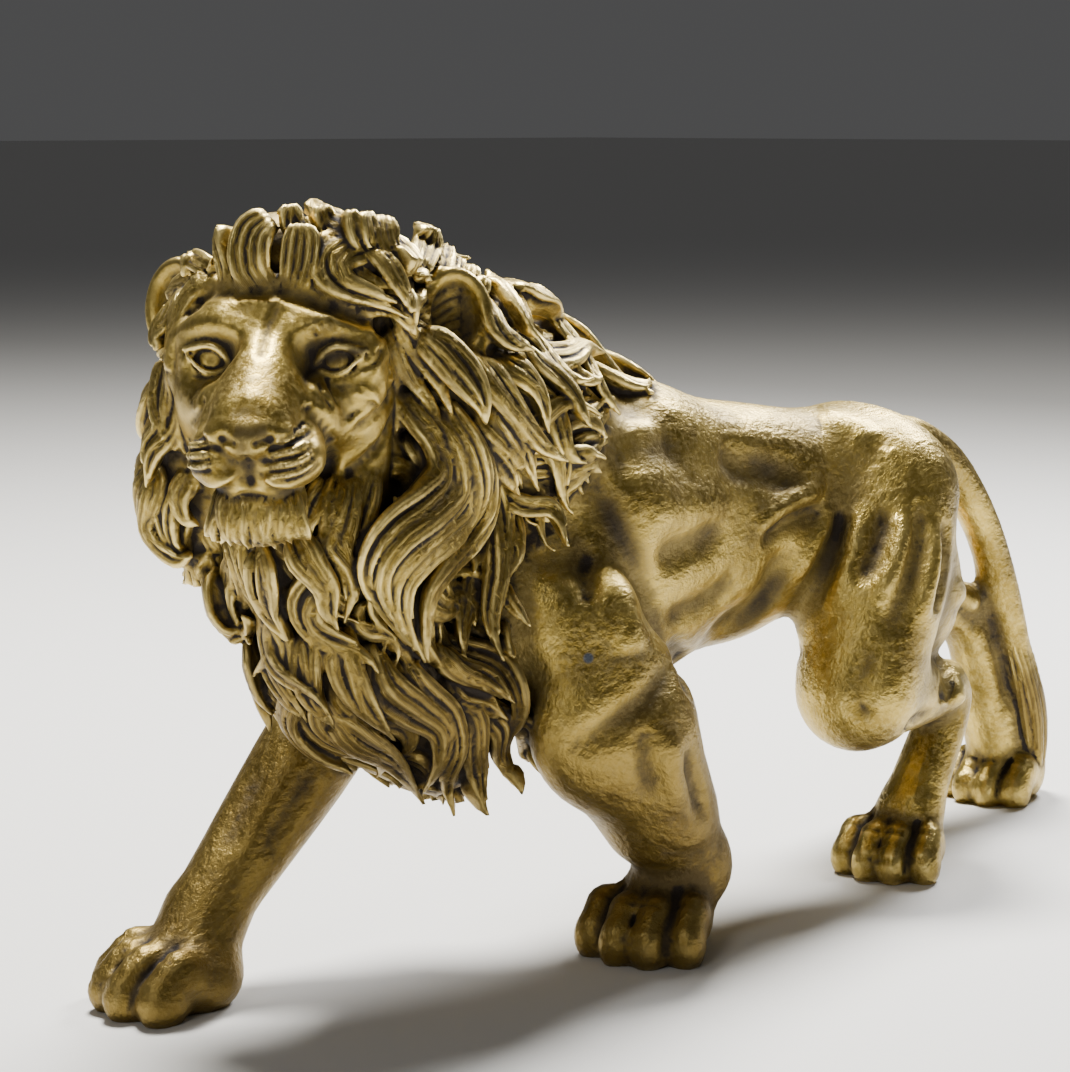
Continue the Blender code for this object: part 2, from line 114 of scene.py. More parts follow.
def soft_line(line, width, deep, fade, x, y, z, inset=0.0):
    """How deep a soft line is at each point: most on the line, less beside it and at its fading ends.

    The inset is how far along the fade the line already is at its ends, as a share of the line's length.
    """
    near, there = np.inf, 0.0
    last = len(line) - 1
    for i, (a, b) in enumerate(zip(line, line[1:])):
        share, own = nearest_along(a, b, x, y, z)
        place = (i + share) / last
        there = np.where(own < near, coming_in((1 - 2 * inset) * place + inset, fade), there)
        near = np.minimum(near, own)
    return deep * there * np.exp(-((near / width) ** 2))


def soft_least(a, b, blend):
    """The lesser of two distances, with a fillet of about the blend's size where they are alike."""
    overlap = np.maximum(blend - np.abs(a - b), 0) / blend
    return np.minimum(a, b) - overlap * overlap * (blend / 4)


def own_blend(size, share, least):
    return float(np.clip(share * size, least, MOST_BLEND))


class Field:
    """Distances to the surface on a grid of points, below zero inside."""

    def __init__(self, low, high, step):
        self.low = np.array(low, float)
        self.step = step
        shape = np.ceil((np.array(high) - self.low) / step).astype(int) + 1
        self.d = np.full(tuple(shape), FAR, np.float32)
        self.strand = np.zeros(tuple(shape), np.float32)

    def window(self, low, high):
        first = np.maximum(np.floor((low - self.low) / self.step).astype(int), 0)
        last = np.minimum(np.ceil((high - self.low) / self.step).astype(int) + 1, self.d.shape)
        if (last <= first).any():
            return None
        cut = tuple(slice(a, b) for a, b in zip(first, last))
        x, y, z = [
            (self.low[k] + self.step * np.arange(first[k], last[k])).astype(np.float32) for k in range(3)
        ]
        return cut, x[:, None, None], y[None, :, None], z[None, None, :]

    def join(self, cut, distance, blend=0.0, strand=None):
        """Adds a form, with a fillet of about the blend's size where it meets the rest."""
        old = self.d[cut]
        if strand is not None:
            self.strand[cut] = np.where(distance < old, strand, self.strand[cut])
        self.d[cut] = soft_least(old, distance, blend) if blend else np.minimum(old, distance)

    def ellipsoid(self, at, half, axes, room):
        """The part of the grid round an ellipsoid, and the distances from the ellipsoid in it."""
        at, half = np.asarray(at, float), np.asarray(half, float)
        reach = np.sqrt((axes.T**2) @ half**2) + room + 2 * self.step
        cut, x, y, z = self.window(at - reach, at + reach)
        x, y, z = x - at[0], y - at[1], z - at[2]
        near = slope = 0
        for axis, length in zip(axes, half):
            turned = (axis[0] / length) * x + (axis[1] / length) * y + (axis[2] / length) * z
            near = near + turned**2
            slope = slope + (turned / length) ** 2
        near = np.sqrt(near)
        return cut, near * (near - 1) / np.sqrt(slope + 1e-12)

    def blob(self, at, half, axes=UPRIGHT, blend=None):
        """Adds an ellipsoid. Its three half lengths lie along the axes."""
        if blend is None:
            blend = own_blend(min(half), *BLOB_BLEND)
        self.join(*self.ellipsoid(at, half, axes, blend), blend)

    def hollow(self, at, half, axes, blend):
        """Hollows an ellipsoid out, with its edge rounded by the blend."""
        cut, distance = self.ellipsoid(at, half, axes, blend)
        self.d[cut] = -soft_least(-self.d[cut], distance, blend)

    def limb(self, points, blend=None):
        """Adds a round limb along (x, y, z, radius) points."""
        samples = smooth_path(points, 4 * len(points) - 3)
        if blend is None:
            blend = own_blend(samples[:, 3].max(), *LIMB_BLEND)
        reach = samples[:, 3].max() + blend + 2 * self.step
        cut, x, y, z = self.window(samples[:, :3].min(0) - reach, samples[:, :3].max(0) + reach)
        distance = None
        for a, b in zip(samples, samples[1:]):
            share, near = nearest_along(a[:3], b[:3], x, y, z)
            own = near - (a[3] + (b[3] - a[3]) * share)
            distance = own if distance is None else np.minimum(distance, own)
        self.join(cut, distance, blend)

    def groove(self, points, width, deep, fade=0.0):
        """Sinks a soft groove along a path, or raises a ridge where its depth is below zero.

        The fade is the share of its length over which it comes in at each end.
        """
        points = np.asarray(points, float)
        reach = GROOVE_REACH * width
        window = self.window(points.min(0) - reach, points.max(0) + reach)
        if window is not None:
            cut, x, y, z = window
            self.d[cut] += soft_line(points, width, deep, fade, x, y, z)

    def soften(self, reach):
        """Rounds every crease off by two box blurs."""
        count = max(1, round(reach / self.step))
        for axis in (0, 1, 2):
            for _ in range(2):
                self.d = box_blur(self.d, axis, count)

    def crowding(self, reach):
        """The share of solid round each grid point: over a half in hollows, under a half on ridges."""
        solid = np.clip(0.5 - self.d / self.step, 0, 1)
        count = max(1, round(reach / self.step))
        for axis in (0, 1, 2):
            solid = box_blur(solid, axis, count)
        return solid

    def read(self, grid, points):
        """The grid's values at points, blended between the eight grid points round each."""
        place = (points - self.low) / self.step
        place = np.clip(place, 0, np.array(grid.shape) - 1.001)
        first = place.astype(int)
        share = place - first
        total = 0
        for corner in np.ndindex(2, 2, 2):
            weight = np.prod(np.where(corner, share, 1 - share), axis=-1)
            i, j, k = (first + corner).T
            total = total + weight * grid[i, j, k]
        return total

    def slope(self, grid, points):
        """How much the grid's values change over two steps along each axis, at points."""
        shifts = self.step * np.eye(3)
        return np.stack([self.read(grid, points + s) - self.read(grid, points - s) for s in shifts], -1)

    def skin(self):
        """Points and quads of the surface."""
        grid = openvdb.FloatGrid(FAR)
        grid.copyFromArray(self.d)
        grid.transform = openvdb.createLinearTransform(voxelSize=self.step)
        points, _, quads = grid.convertToPolygons(isovalue=0.0, adaptivity=0.0)
        return points + self.low, quads[:, ::-1]


def box_blur(values, axis, count):
    """The mean of each value and of count neighbours on both sides along an axis."""
    pad = [(0, 0)] * 3
    pad[axis] = (count + 1, count)
    total = np.cumsum(np.pad(values, pad, mode="edge"), axis=axis, dtype=np.float32)
    late, early = [slice(None)] * 3, [slice(None)] * 3
    late[axis] = slice(2 * count + 1, None)
    early[axis] = slice(None, -(2 * count + 1))
    return (total[tuple(late)] - total[tuple(early)]) / np.float32(2 * count + 1)


def smooth_path(points, count):
    """Catmull-Rom samples through the points."""
    points = np.asarray(points, float)
    last = len(points) - 1
    padded = np.vstack([2 * points[0] - points[1], points, 2 * points[-1] - points[-2]])
    samples = []
    for place in np.linspace(0, last, count):
        i = min(int(place), last - 1)
        t = place - i
        a, b, c, d = padded[i : i + 4]
        bend = (2 * a - 5 * b + 4 * c - d) * t**2 + (3 * b - a - 3 * c + d) * t**3
        samples.append(0.5 * (2 * b + (c - a) * t + bend))
    return np.array(samples)


def fine_path(points):
    return smooth_path(points, 4 * len(points))


class Pose:
    """A place, a turn and a size: forward, left and up, from straight ahead (-X) to the lion's left (-Y)."""

    def __init__(self, at, yaw=0.0, pitch=0.0, size=1.0):
        yaw, pitch = np.radians(yaw), np.radians(pitch)
        self.middle = np.array(at, float)
        self.size = size
        self.forward = np.array([-np.cos(yaw) * np.cos(pitch), -np.sin(yaw) * np.cos(pitch), np.sin(pitch)])
        self.left = np.array([np.sin(yaw), -np.cos(yaw), 0.0])
        self.up = np.cross(self.left, self.forward)
        if self.up[2] < 0:
            self.up = -self.up

    def at(self, forward, left, up):
        forward, left, up = self.size * np.array([forward, left, up])
        return self.middle + forward * self.forward + left * self.left + up * self.up

    def line(self, places, side=1):
        """Points given as (forward, left, up), and a radius if there is one. The side turns left to right."""
        return [(*self.at(forward, side * left, up), *radius) for forward, left, up, *radius in places]

    def local(self, points):
        """How far forward, left and up of the middle points are."""
        return ((points - self.middle) @ np.array([self.forward, self.left, self.up]).T).T

    def axes(self, pitch=0.0, yaw=0.0, roll=0.0):
        """Three rows, the axes of an ellipsoid that is turned within this pose."""
        p, y, r = np.radians(pitch), np.radians(yaw), np.radians(roll)
        forward = np.array([np.cos(p) * np.cos(y), np.cos(p) * np.sin(y), np.sin(p)])
        left = np.array([-np.sin(y), np.cos(y), 0.0])
        up = np.array([-np.sin(p) * np.cos(y), -np.sin(p) * np.sin(y), np.cos(p)])
        left, up = left * np.cos(r) + up * np.sin(r), up * np.cos(r) - left * np.sin(r)
        return np.array([forward, left, up]) @ np.array([self.forward, self.left, self.up])


STRAIGHT = Pose((0, 0, 0))
HEAD = Pose(HEAD_AT, HEAD_YAW)

# The lines of sight: straight ahead, to the right and up, as the eye sees them.
AHEAD = np.array(
    [np.sin(EYE_YAW) * np.cos(EYE_TILT), np.cos(EYE_YAW) * np.cos(EYE_TILT), -np.sin(EYE_TILT)]
)
RIGHT = np.array([np.cos(EYE_YAW), -np.sin(EYE_YAW), 0.0])
UPWARD = np.cross(RIGHT, AHEAD)


def sight(pixels):
    """The directions of the lines of sight through the picture's pixels."""
    pixels = np.asarray(pixels, float)
    across = (pixels[:, :1] - EYE_MIDDLE_PX[0]) / EYE_FOCUS_PX
    down = (pixels[:, 1:2] - EYE_MIDDLE_PX[1]) / EYE_FOCUS_PX
    return unit(AHEAD + across * RIGHT - down * UPWARD)


def seen_on(field, pixels):
    """Where the lines of sight through the picture's pixels meet the sculpted surface."""
    lines = EYE + sight(pixels)[:, None] * SURFACE_REACH[None, :, None]
    place = np.round((lines - field.low) / field.step).astype(int)
    within = ((place >= 0) & (place < field.d.shape)).all(-1)
    i, j, k = np.moveaxis(np.where(within[..., None], place, 0), -1, 0)
    distance = np.where(within, field.d[i, j, k], FAR)
    first = np.argmax(distance < 0, axis=1)
    missed = ~(distance < 0).any(axis=1)
    first[missed] = np.argmin(distance[missed], axis=1) if missed.any() else 0
    return lines[np.arange(len(first)), first]


def seen_line(field, pixels):
    """The smooth line that is drawn in pixels, on the sculpted surface."""
    return seen_on(field, fine_path(pixels))


def onto(field, points):
    """Points moved straight to the sculpted surface near them."""
    points = np.array(points, float)
    for _ in range(4):
        points = points - field.read(field.d, points)[:, None] * unit(field.slope(field.d, points))
    return points


TRUNK = [
    ((-52, 0, 127), (64, 31, 50)),
    ((-92, 0, 112), (36, 29, 40)),
    ((6, 0, 127), (54, 25, 39)),
    ((84, 0, 136), (28, 27, 26)),
    ((-38, 0, 163), (26, 19, 14)),
]
BACK = [(-34, 0, 157, 22), (0, 0, 150, 20), (36, 0, 145, 20.5), (72, 0, 144, 20)]
TAIL = [
    (96, 0, 148, 10),
    (122, 9, 148, 8.5),
    (142, 10, 140, 8),
    (156, 10, 128, 7.6),
    (170, 10, 110, 7.3),
    (182, 10, 86, 7.2),
    (193, 11, 60, 7),
    (203, 13, 38, 7),
    (208, 14, 14, 7),
]


def trunk(field):
    for at, half in TRUNK:
        field.blob(at, half)
    field.limb(BACK)
    field.limb(TAIL)


# The paws, a little smaller behind, and the ankles over them as (x, y, z, radius).
PAWS = [
    Pose((-52, -30, 0), 22),
    Pose((-196, 32, 0), -12),
    Pose((80, -23, 0), 18, size=0.92),
    Pose((196, 19, 0), 5, size=0.9),
]
ANKLES = [(-37, -31, 24, 14.0), (-184, 33, 22, 12.5), (86, -24, 20, 11.0), (194, 19, 18, 10.5)]
TOES = (-1.5, -0.5, 0.5, 1.5)
TOE_GAPS = (-10.4, 0.0, 10.4)


def toe_place(toe):
    """How far forward and left of its paw's middle a toe lies."""
    return 12.2 - 3 * toe**2, 10.3 * toe


def paw(field, pose, ankle):
    """Adds a paw with four toes."""
    size = pose.size
    field.limb([ankle, (*pose.at(-5, 0, 15), 13 * size)])
    field.blob(pose.at(-5, 0, 8.5), np.array([17, 17.5, 13.5]) * size, pose.axes())
    for toe in TOES:
        forward, left = toe_place(toe)
        splay = 8.7 * toe
        knuckle = pose.at(forward - 3, left - 0.08 * splay, 13.5)
        field.blob(knuckle, np.array([10.5, 6.0, 7.6]) * size, pose.axes(pitch=22, yaw=splay))
        tip = pose.at(forward + 4.5, left, 6.5)
        field.blob(tip, np.array([9.4, 6.3, 9.6]) * size, pose.axes(yaw=splay))


def toe_gaps(field, pose):
    """Sinks the gaps between a paw's toes, and two creases over each toe."""
    size = pose.size
    for left in TOE_GAPS:
        gap = pose.line([(0, 0.85 * left, 23), (8, left, 18), (17, 1.05 * left, 12), (21, 1.08 * left, 2)])
        field.groove(smooth_path(gap, 13), 1.9 * size, 1.2 * size, LINE_FADE)
    for toe in TOES:
        forward, left = toe_place(toe)
        for ahead, up, deep in ((3, 18.5, 0.6), (11.5, 9.5, 0.4)):
            crease = pose.line([(forward + ahead, left + side, up) for side in (-5, 0, 5)])
            field.groove(onto(field, crease), 1.4 * size, deep * size, LINE_FADE)


def front_leg(field, blade, shoulder, elbow, wrist, thick=1.0):
    """Adds shoulder blade, upper arm and forearm."""
    field.blob(blade, (19, 12, 38), STRAIGHT.axes(pitch=28))
    middle = 0.62 * np.array(elbow) + 0.38 * np.array(wrist)
    arm = [(*shoulder, 19), (*elbow, 17), (*middle, 16.5), (*wrist, 12.5)]
    field.limb([(*at, radius * thick) for *at, radius in arm])


def hind_leg(field, hip, knee, hock, ankle):
    hip, knee, hock = np.array(hip), np.array(knee), np.array(hock)
    field.limb([(*hip, 25), (*(0.5 * (hip + knee)), 25), (*knee, 19)])
    field.limb([(*knee, 18), (*(0.5 * (knee + hock)), 13.5), (*hock, 9.5), (*ankle, 10.5)])


def legs(field):
    front_leg(field, (-64, -22, 135), (-82, -27, 108), (-70, -33, 80), (-38, -31, 32))
    field.blob((-76, -34, 80), (31, 18, 29))
    field.limb([(-68, -32, 70, 21), (-54, -32, 46, 17)])
    front_leg(field, (-86, 24, 131), (-104, 30, 104), (-124, 32, 88), (-181, 33, 27), thick=0.95)
    hind_leg(field, (78, -17, 134), (47, -31, 71), (104, -25, 60), (88, -24, 24))
    field.blob((80, -24, 108), (24, 15, 34), STRAIGHT.axes(pitch=-30))
    field.blob((58, -28, 84), (21, 15, 24), STRAIGHT.axes(pitch=-20))
    field.blob((106, -24, 64), (7, 7, 9))
    hind_leg(field, (82, 17, 134), (112, 25, 96), (172, 20, 74), (190, 19, 28))
    for pose, ankle in zip(PAWS, ANKLES):
        paw(field, pose, ankle)


# The share of its length over which a muscle's hollow, a crease and a line of painted shade come in at each
# end.
MUSCLE_FADE = 0.3
LINE_FADE = 0.17
SHADE_LINE_FADE = 0.45
# Hollows between the muscles of the left side, drawn in the picture's pixels: the line, its width and depth.
HOLLOWS = {
    "behind the shoulder blade": ([(565, 435), (602, 502), (635, 565), (655, 610)], 5.0, 4.8),
    "down the shoulder": ([(587, 545), (586, 580), (590, 612)], 3.2, 2.2),
    "under the back, front": ([(602, 461), (640, 452), (690, 446)], 6.0, 3.6),
    "under the back, rear": ([(712, 454), (760, 470), (813, 474)], 6.0, 4.4),
    "rib": ([(650, 560), (690, 548), (728, 528)], 4.5, 2.9),
    "lower rib": ([(660, 622), (700, 605), (740, 578)], 4.5, 2.7),
    "flank": ([(700, 640), (761, 602), (798, 528)], 6.0, 4.9),
    "under the flank fold": ([(758, 548), (790, 522), (826, 508)], 4.0, 3.6),
    "thigh's front edge": ([(843, 502), (838, 546), (812, 622)], 4.0, 3.0),
    "thigh, first": ([(891, 500), (878, 545), (856, 590)], 4.0, 3.8),
    "thigh, second": ([(920, 491), (920, 543), (902, 600), (885, 640)], 4.0, 4.2),
    "thigh, third": ([(946, 513), (945, 570), (934, 620)], 3.5, 3.8),
    "knee": ([(876, 640), (862, 690), (866, 730)], 4.6, 2.2),
    "hock": ([(940, 655), (948, 680), (940, 706)], 3.5, 3.3),
    "shin": ([(905, 735), (915, 720), (935, 712)], 3.0, 1.6),
    "shoulder over the forearm": (
        [(556, 744), (585, 742), (615, 724), (648, 700), (668, 674), (682, 652)],
        4.0, 3.1,
    ),
    "between the tail and the far leg": ([(984, 600), (996, 640), (1006, 680), (1010, 720)], 4.0, 2.6),
    "under the far hock": ([(954, 604), (970, 618), (988, 630)], 3.6, 2.6),
    "elbow fold": ([(668, 636), (684, 668), (688, 698)], 3.5, 3.6),
    "forearm, front": ([(640, 716), (645, 760), (654, 806)], 4.2, 2.0),
    "forearm, back": ([(684, 745), (694, 785), (708, 828)], 3.2, 2.5),
    "wrist": ([(650, 850), (680, 856), (712, 850)], 3.4, 0.9),
    "far forearm": ([(262, 760), (240, 810), (216, 862)], 3.5, 2.0),
    "far forearm, inner": ([(318, 760), (288, 812), (258, 868)], 3.5, 1.8),
    "skin fold": ([(772, 642), (788, 646), (803, 656)], 2.6, 2.6),
}
# Painted shade and shadow, with the dark wash, drawn in the same pixels: the line, its width and its
# strength.
# In the hollows of the muscles the painted shade is wider than the hollow, and stronger the deeper the hollow
# is.
HOLLOW_SHADE_WIDTH = 1.4
HOLLOW_SHADE_STRENGTH = 0.21
FACE_PAINTED_SHADE = {
    "near eye's tear": ([(312, 372), (317, 365), (324, 359)], 1.8, 0.95),
    "near eye's upper lid": ([(318, 357), (326, 347), (338, 342), (354, 343), (370, 345)], 1.3, 0.95),
    "near eye's outer corner": ([(350, 356), (360, 351), (370, 347)], 1.8, 0.95),
    "near eye's lower lid": ([(322, 369), (336, 371), (350, 364)], 1.3, 0.85),
    "over the near eye": ([(318, 338), (324, 332), (332, 328), (340, 328)], 2.4, 0.5),
    "near eye's opening": ([(320, 361), (334, 356), (346, 354), (360, 350)], 2.8, 1.05),
    "under the near eye": ([(342, 375), (346, 390), (352, 408)], 1.8, 0.7),
    "under the nose": ([(232, 431), (250, 434), (270, 430)], 3.4, 0.75),
    "down to the lips": ([(240, 440), (242, 450), (241, 482)], 3.2, 0.65),
    "beside the muzzle": ([(300, 404), (316, 418), (328, 436), (330, 460)], 1.6, 0.6),
    "beside the near cheek": ([(384, 345), (402, 372), (414, 400)], 4.0, 0.6),
    "under the quiff": ([(200, 296), (226, 286), (262, 283), (300, 286)], 4.4, 0.75),
    "under the quiff, near side": ([(290, 290), (314, 300), (340, 312), (368, 318)], 2.2, 0.8),
    "furrow": ([(282, 298), (272, 318), (265, 336), (261, 356)], 0.9, 0.75),
    "beside the far muzzle": ([(205, 404), (199, 414), (190, 426)], 1.4, 0.8),
    "over the chin": ([(186, 490), (206, 497), (232, 500), (262, 497), (292, 492), (314, 484)], 1.6, 0.9),
}
# Rounded ridges beside the hollows: the line, its width and its depth, which is below zero on a ridge.
RIDGES = {
    "flank fold": ([(752, 532), (785, 506), (830, 490)], 3.6, -3.5),
    "flank fold, lower": ([(790, 590), (815, 540), (832, 500)], 3.6, -2.9),
    "shoulder's front": ([(560, 560), (552, 620), (566, 690)], 8.0, -2.6),
    "shoulder's middle": ([(612, 560), (628, 620), (640, 660)], 7.0, -2.9),
    "ribs": ([(640, 520), (690, 505), (740, 500)], 7.0, -2.2),
    "hip": ([(810, 415), (850, 428), (880, 450)], 7.0, -2.6),
    "thigh's front": ([(862, 500), (846, 560), (826, 620)], 6.0, -2.6),
    "thigh's middle": ([(905, 500), (896, 560), (876, 610)], 5.0, -2.6),
    "thigh's back": ([(934, 510), (932, 570), (916, 630)], 4.5, -2.2),
    "forearm": ([(668, 720), (672, 770), (682, 820)], 5.0, -2.4),
    "far hock": ([(950, 588), (966, 598), (980, 608)], 4.0, -2.6),
    "hock's knob": ([(952, 690), (962, 698)], 4.0, -3.2),
}
# The right side's hollows and ridges, plainer: a line, its width and its depth.
FAR_SIDE = [
    ([(-86, 32, 150), (-66, 34, 120), (-58, 32, 92)], 6.0, 3.6),
    ([(-60, 22, 158), (-20, 22, 152), (20, 22, 148)], 6.0, 3.0),
    ([(10, 27, 104), (34, 26, 116), (50, 25, 138)], 6.0, 3.6),
    ([(30, 24, 118), (48, 26, 128), (64, 27, 140)], 3.6, -3.0),
    ([(70, 42, 140), (88, 42, 116), (100, 42, 96)], 5.0, 3.3),
    ([(96, 36, 138), (114, 42, 112), (126, 40, 92)], 4.5, 3.0),
    ([(-118, 50, 96), (-138, 50, 74), (-158, 46, 52)], 4.0, 2.4),
    ([(-92, 52, 120), (-104, 52, 92)], 7.0, -2.4),
    ([(120, 40, 88), (144, 38, 78), (166, 32, 70)], 4.0, 2.1),
]


def muscles(field):
    for pixels, width, deep in [*HOLLOWS.values(), *RIDGES.values()]:
        field.groove(seen_line(field, pixels), width, deep, MUSCLE_FADE)
    for line, width, deep in FAR_SIDE:
        field.groove(fine_path(line), width, deep, MUSCLE_FADE)
    for pose in PAWS:
        toe_gaps(field, pose)


SKULL = (HEAD.at(-14, 0, 2), (33, 30.5, 26), HEAD.axes())
# Ridges of the face as (forward, left, up, radius) from the head's middle. The first two are on both sides.
BRIDGE = [(16, 4, 5, 7.0), (29, 4.2, -4.5, 7.2), (44, 5.2, -15.5, 6.6)]
BROW = [(21.5, 8, 7.5, 4.4), (19.5, 14, 8.6, 5.0), (15, 21, 7.6, 4.4), (8, 27, 3, 4), (6, 28, -6, 4.5)]
BRIDGE_CREST = [(17, 0, 7.2, 6.2), (29, 0, -1.6, 6.4), (43, 0, -12.2, 5.8)]


def head(field):
    axes = HEAD.axes()
    field.blob(*SKULL)
    field.blob(HEAD.at(30, 0, -39), (16, 12, 7), axes)
    field.blob(HEAD.at(37, 0, -42), (10, 12.5, 8), axes)
    field.blob(HEAD.at(28, 0, -22), (22, 16.5, 12), axes, blend=8)
    for side in (-1, 1):
        field.blob(HEAD.at(8, side * 8.5, 11), (14, 13, 11), axes)
        field.blob(HEAD.at(4, side * 17, -11), (20, 13.5, 17), axes, blend=8)
        field.blob(HEAD.at(-8, side * 19, -24), (18, 11, 18), axes, blend=8)
        field.blob(HEAD.at(20, side * 11, -14), (18, 9.5, 12), axes, blend=6)
        field.limb(HEAD.line(BRIDGE, side), blend=4)
        field.limb(HEAD.line(BROW, side), blend=4)
        field.blob(HEAD.at(38, side * 8.6, -25.5), (13, 10.6, 9.0), HEAD.axes(yaw=side * 12), blend=3)
        field.blob(HEAD.at(40, side * 5.6, -31), (11, 7.4, 4.6), HEAD.axes(yaw=side * 10), blend=3)
    field.blob(HEAD.at(9, 0, 11), (13.2, 9, 10), axes, blend=5)
    field.limb(HEAD.line(BRIDGE_CREST), blend=5)
    nose(field)
    mouth(field)
    for side in (-1, 1):
        eye(field, side)
        ear(field, side)
    whiskers = [(pixels, WHISKER_WIDTH, WHISKER_DEPTH) for pixels in WHISKER_LINES.values()]
    for pixels, width, deep in [*FACE_LINES.values(), *whiskers]:
        field.groove(seen_line(field, pixels), width, deep, LINE_FADE)
    for pixels in WHISKER_ROWS.values():
        for spot in seen_on(field, smooth_path(pixels, 2 * len(pixels) + 2))[1:-1]:
            field.groove([spot, spot + 0.2 * HEAD.up], BUMP_WIDTH, -BUMP_HEIGHT)


# Creases of the face, drawn in the picture's pixels: the line, its width and depth, below zero on a ridge.
FACE_LINES = {
    "under the quiff": (
        [(190, 306), (212, 292), (250, 289), (292, 293), (332, 307), (376, 322), (396, 340)],
        2.4, 3.0,
    ),
    "furrow": ([(282, 298), (272, 318), (265, 336), (259, 364)], 1.6, 0.9),
    "near eye's tear": ([(322, 361), (312, 369), (307, 380), (312, 394), (324, 408)], 1.5, 0.7),
    "under the near eye": ([(342, 380), (344, 392), (349, 408), (356, 420)], 3.0, 1.4),
    "near cheek": ([(368, 366), (374, 384), (368, 402)], 6.0, -1.6),
    "cheek's crease": ([(391, 350), (392, 376), (390, 396), (381, 410), (366, 423), (350, 431)], 1.8, 1.5),
    "fur under the eye, first": ([(318, 378), (323, 394), (333, 410)], 0.9, 0.8),
    "fur under the eye, second": ([(326, 376), (331, 390), (340, 405)], 0.9, 0.8),
    "jaw's crease": ([(397, 404), (385, 436), (367, 457), (354, 468), (342, 478)], 1.6, 1.6),
    "beside the muzzle": ([(302, 400), (314, 414), (326, 428), (332, 446), (330, 465), (322, 480)], 1.7, 2.2),
    "under the far eye": ([(200, 372), (196, 386), (194, 402)], 2.6, 0.6),
    "beside the far muzzle": ([(205, 396), (198, 412), (190, 424)], 1.4, 1.2),
    "brow's end": ([(364, 322), (374, 336), (378, 350)], 2.2, -1.0),
    "brow's fur, first": ([(320, 320), (325, 334)], 0.9, 0.5),
    "brow's fur, second": ([(329, 317), (333, 331)], 0.9, 0.5),
    "brow's fur, third": ([(311, 325), (318, 338)], 0.9, 0.5),
}
WHISKER_WIDTH = 0.85
WHISKER_DEPTH = 0.85
WHISKER_STAIN = 0.8
WHISKER_LINES = {
    "near, first": [(277, 443), (289, 436), (300, 428), (306, 420)],
    "near, second": [(265, 451), (280, 445), (295, 441), (306, 435), (313, 427)],
    "near, third": [(260, 464), (277, 460), (293, 457), (306, 452), (315, 442)],
    "near, fourth": [(260, 472), (277, 471), (293, 468), (308, 462), (319, 451)],
    "near, fifth": [(266, 481), (284, 481), (300, 477), (314, 469), (322, 457)],
    "far, first": [(187, 440), (198, 440), (209, 438)],
    "far, second": [(183, 450), (196, 450), (211, 448)],
    "far, third": [(181, 460), (196, 461), (213, 459)],
    "far, fourth": [(184, 470), (198, 472), (214, 469)],
}
# The rows of small bumps that the whiskers would grow from.
WHISKER_ROWS = {
    "near, first": [(271, 447), (284, 441), (297, 434), (308, 425)],
    "near, second": [(268, 458), (282, 453), (296, 449), (309, 440)],
    "near, third": [(266, 468), (281, 466), (296, 463), (311, 453)],
    "near, fourth": [(270, 477), (285, 476), (300, 471), (314, 461)],
    "far, first": [(186, 445), (198, 445), (208, 443)],
    "far, second": [(184, 455), (197, 456), (209, 454)],
    "far, third": [(185, 465), (198, 467), (210, 464)],
}
BUMP_WIDTH = 1.0
BUMP_HEIGHT = 0.75
TICK_WIDTH = 0.8
TICK_LENGTH_PX = 3.0
TICK_STAIN = 0.9


def whisker_ticks(row):
    """Short upright lines across a row, between its bumps, in pixels."""
    spots = smooth_path(row, 4 * len(row) + 5)[2::2]
    return [((x, y - TICK_LENGTH_PX / 2), (x, y + TICK_LENGTH_PX / 2)) for x, y in spots]


def nose(field):
    """Adds the nose's pad, its wings and its nostrils, and the line that runs down from it."""
    axes = HEAD.axes(pitch=-24)
    field.blob(HEAD.at(49.5, 0, -16.8), (5.2, 8.4, 3.6), axes, blend=2.5)
    field.blob(HEAD.at(50.4, 0, -20.5), (3.8, 6.4, 4.6), axes, blend=2)
    for side in (-1, 1):
        field.blob(HEAD.at(46, side * 8.4, -18.6), (5.5, 3.8, 3.8), HEAD.axes(yaw=side * 25), blend=2.5)
        nostril = HEAD.line([(55, 3.6, -20.6), (54, 5.0, -19.8), (52, 6.8, -19.6)], side)
        field.groove(onto(field, smooth_path(nostril, 7)), 0.95, 2.2)
        crease = HEAD.line([(46, 12.6, -15.5), (46, 12, -19.5), (49, 7.4, -24.2)], side)
        field.groove(onto(field, smooth_path(crease, 9)), 1.2, 0.7, LINE_FADE)
    below = HEAD.line([(53, left, -17.4 - 0.02 * left**2) for left in (-6, -3, 0, 3, 6)])
    field.groove(onto(field, below), 1.7, 0.7)
    cleft = HEAD.line([(54, 0, -24), (53, 0, -27.5), (52, 0, -33)])
    field.groove(onto(field, cleft), 1.1, 1.0, LINE_FADE)


# The line between the lips, from the middle of the muzzle to the corner of the mouth.
MOUTH = [(51.5, 0, -31), (50.5, 4, -34), (45, 10.5, -36), (37, 16, -34.6), (30, 18.5, -29.5), (25, 19, -25)]


def mouth(field):
    """Cuts the mouth between the hanging upper lips and the chin."""
    for side in (-1, 1):
        field.groove(onto(field, smooth_path(HEAD.line(MOUTH, side), 24)), 1.5, 3.4)


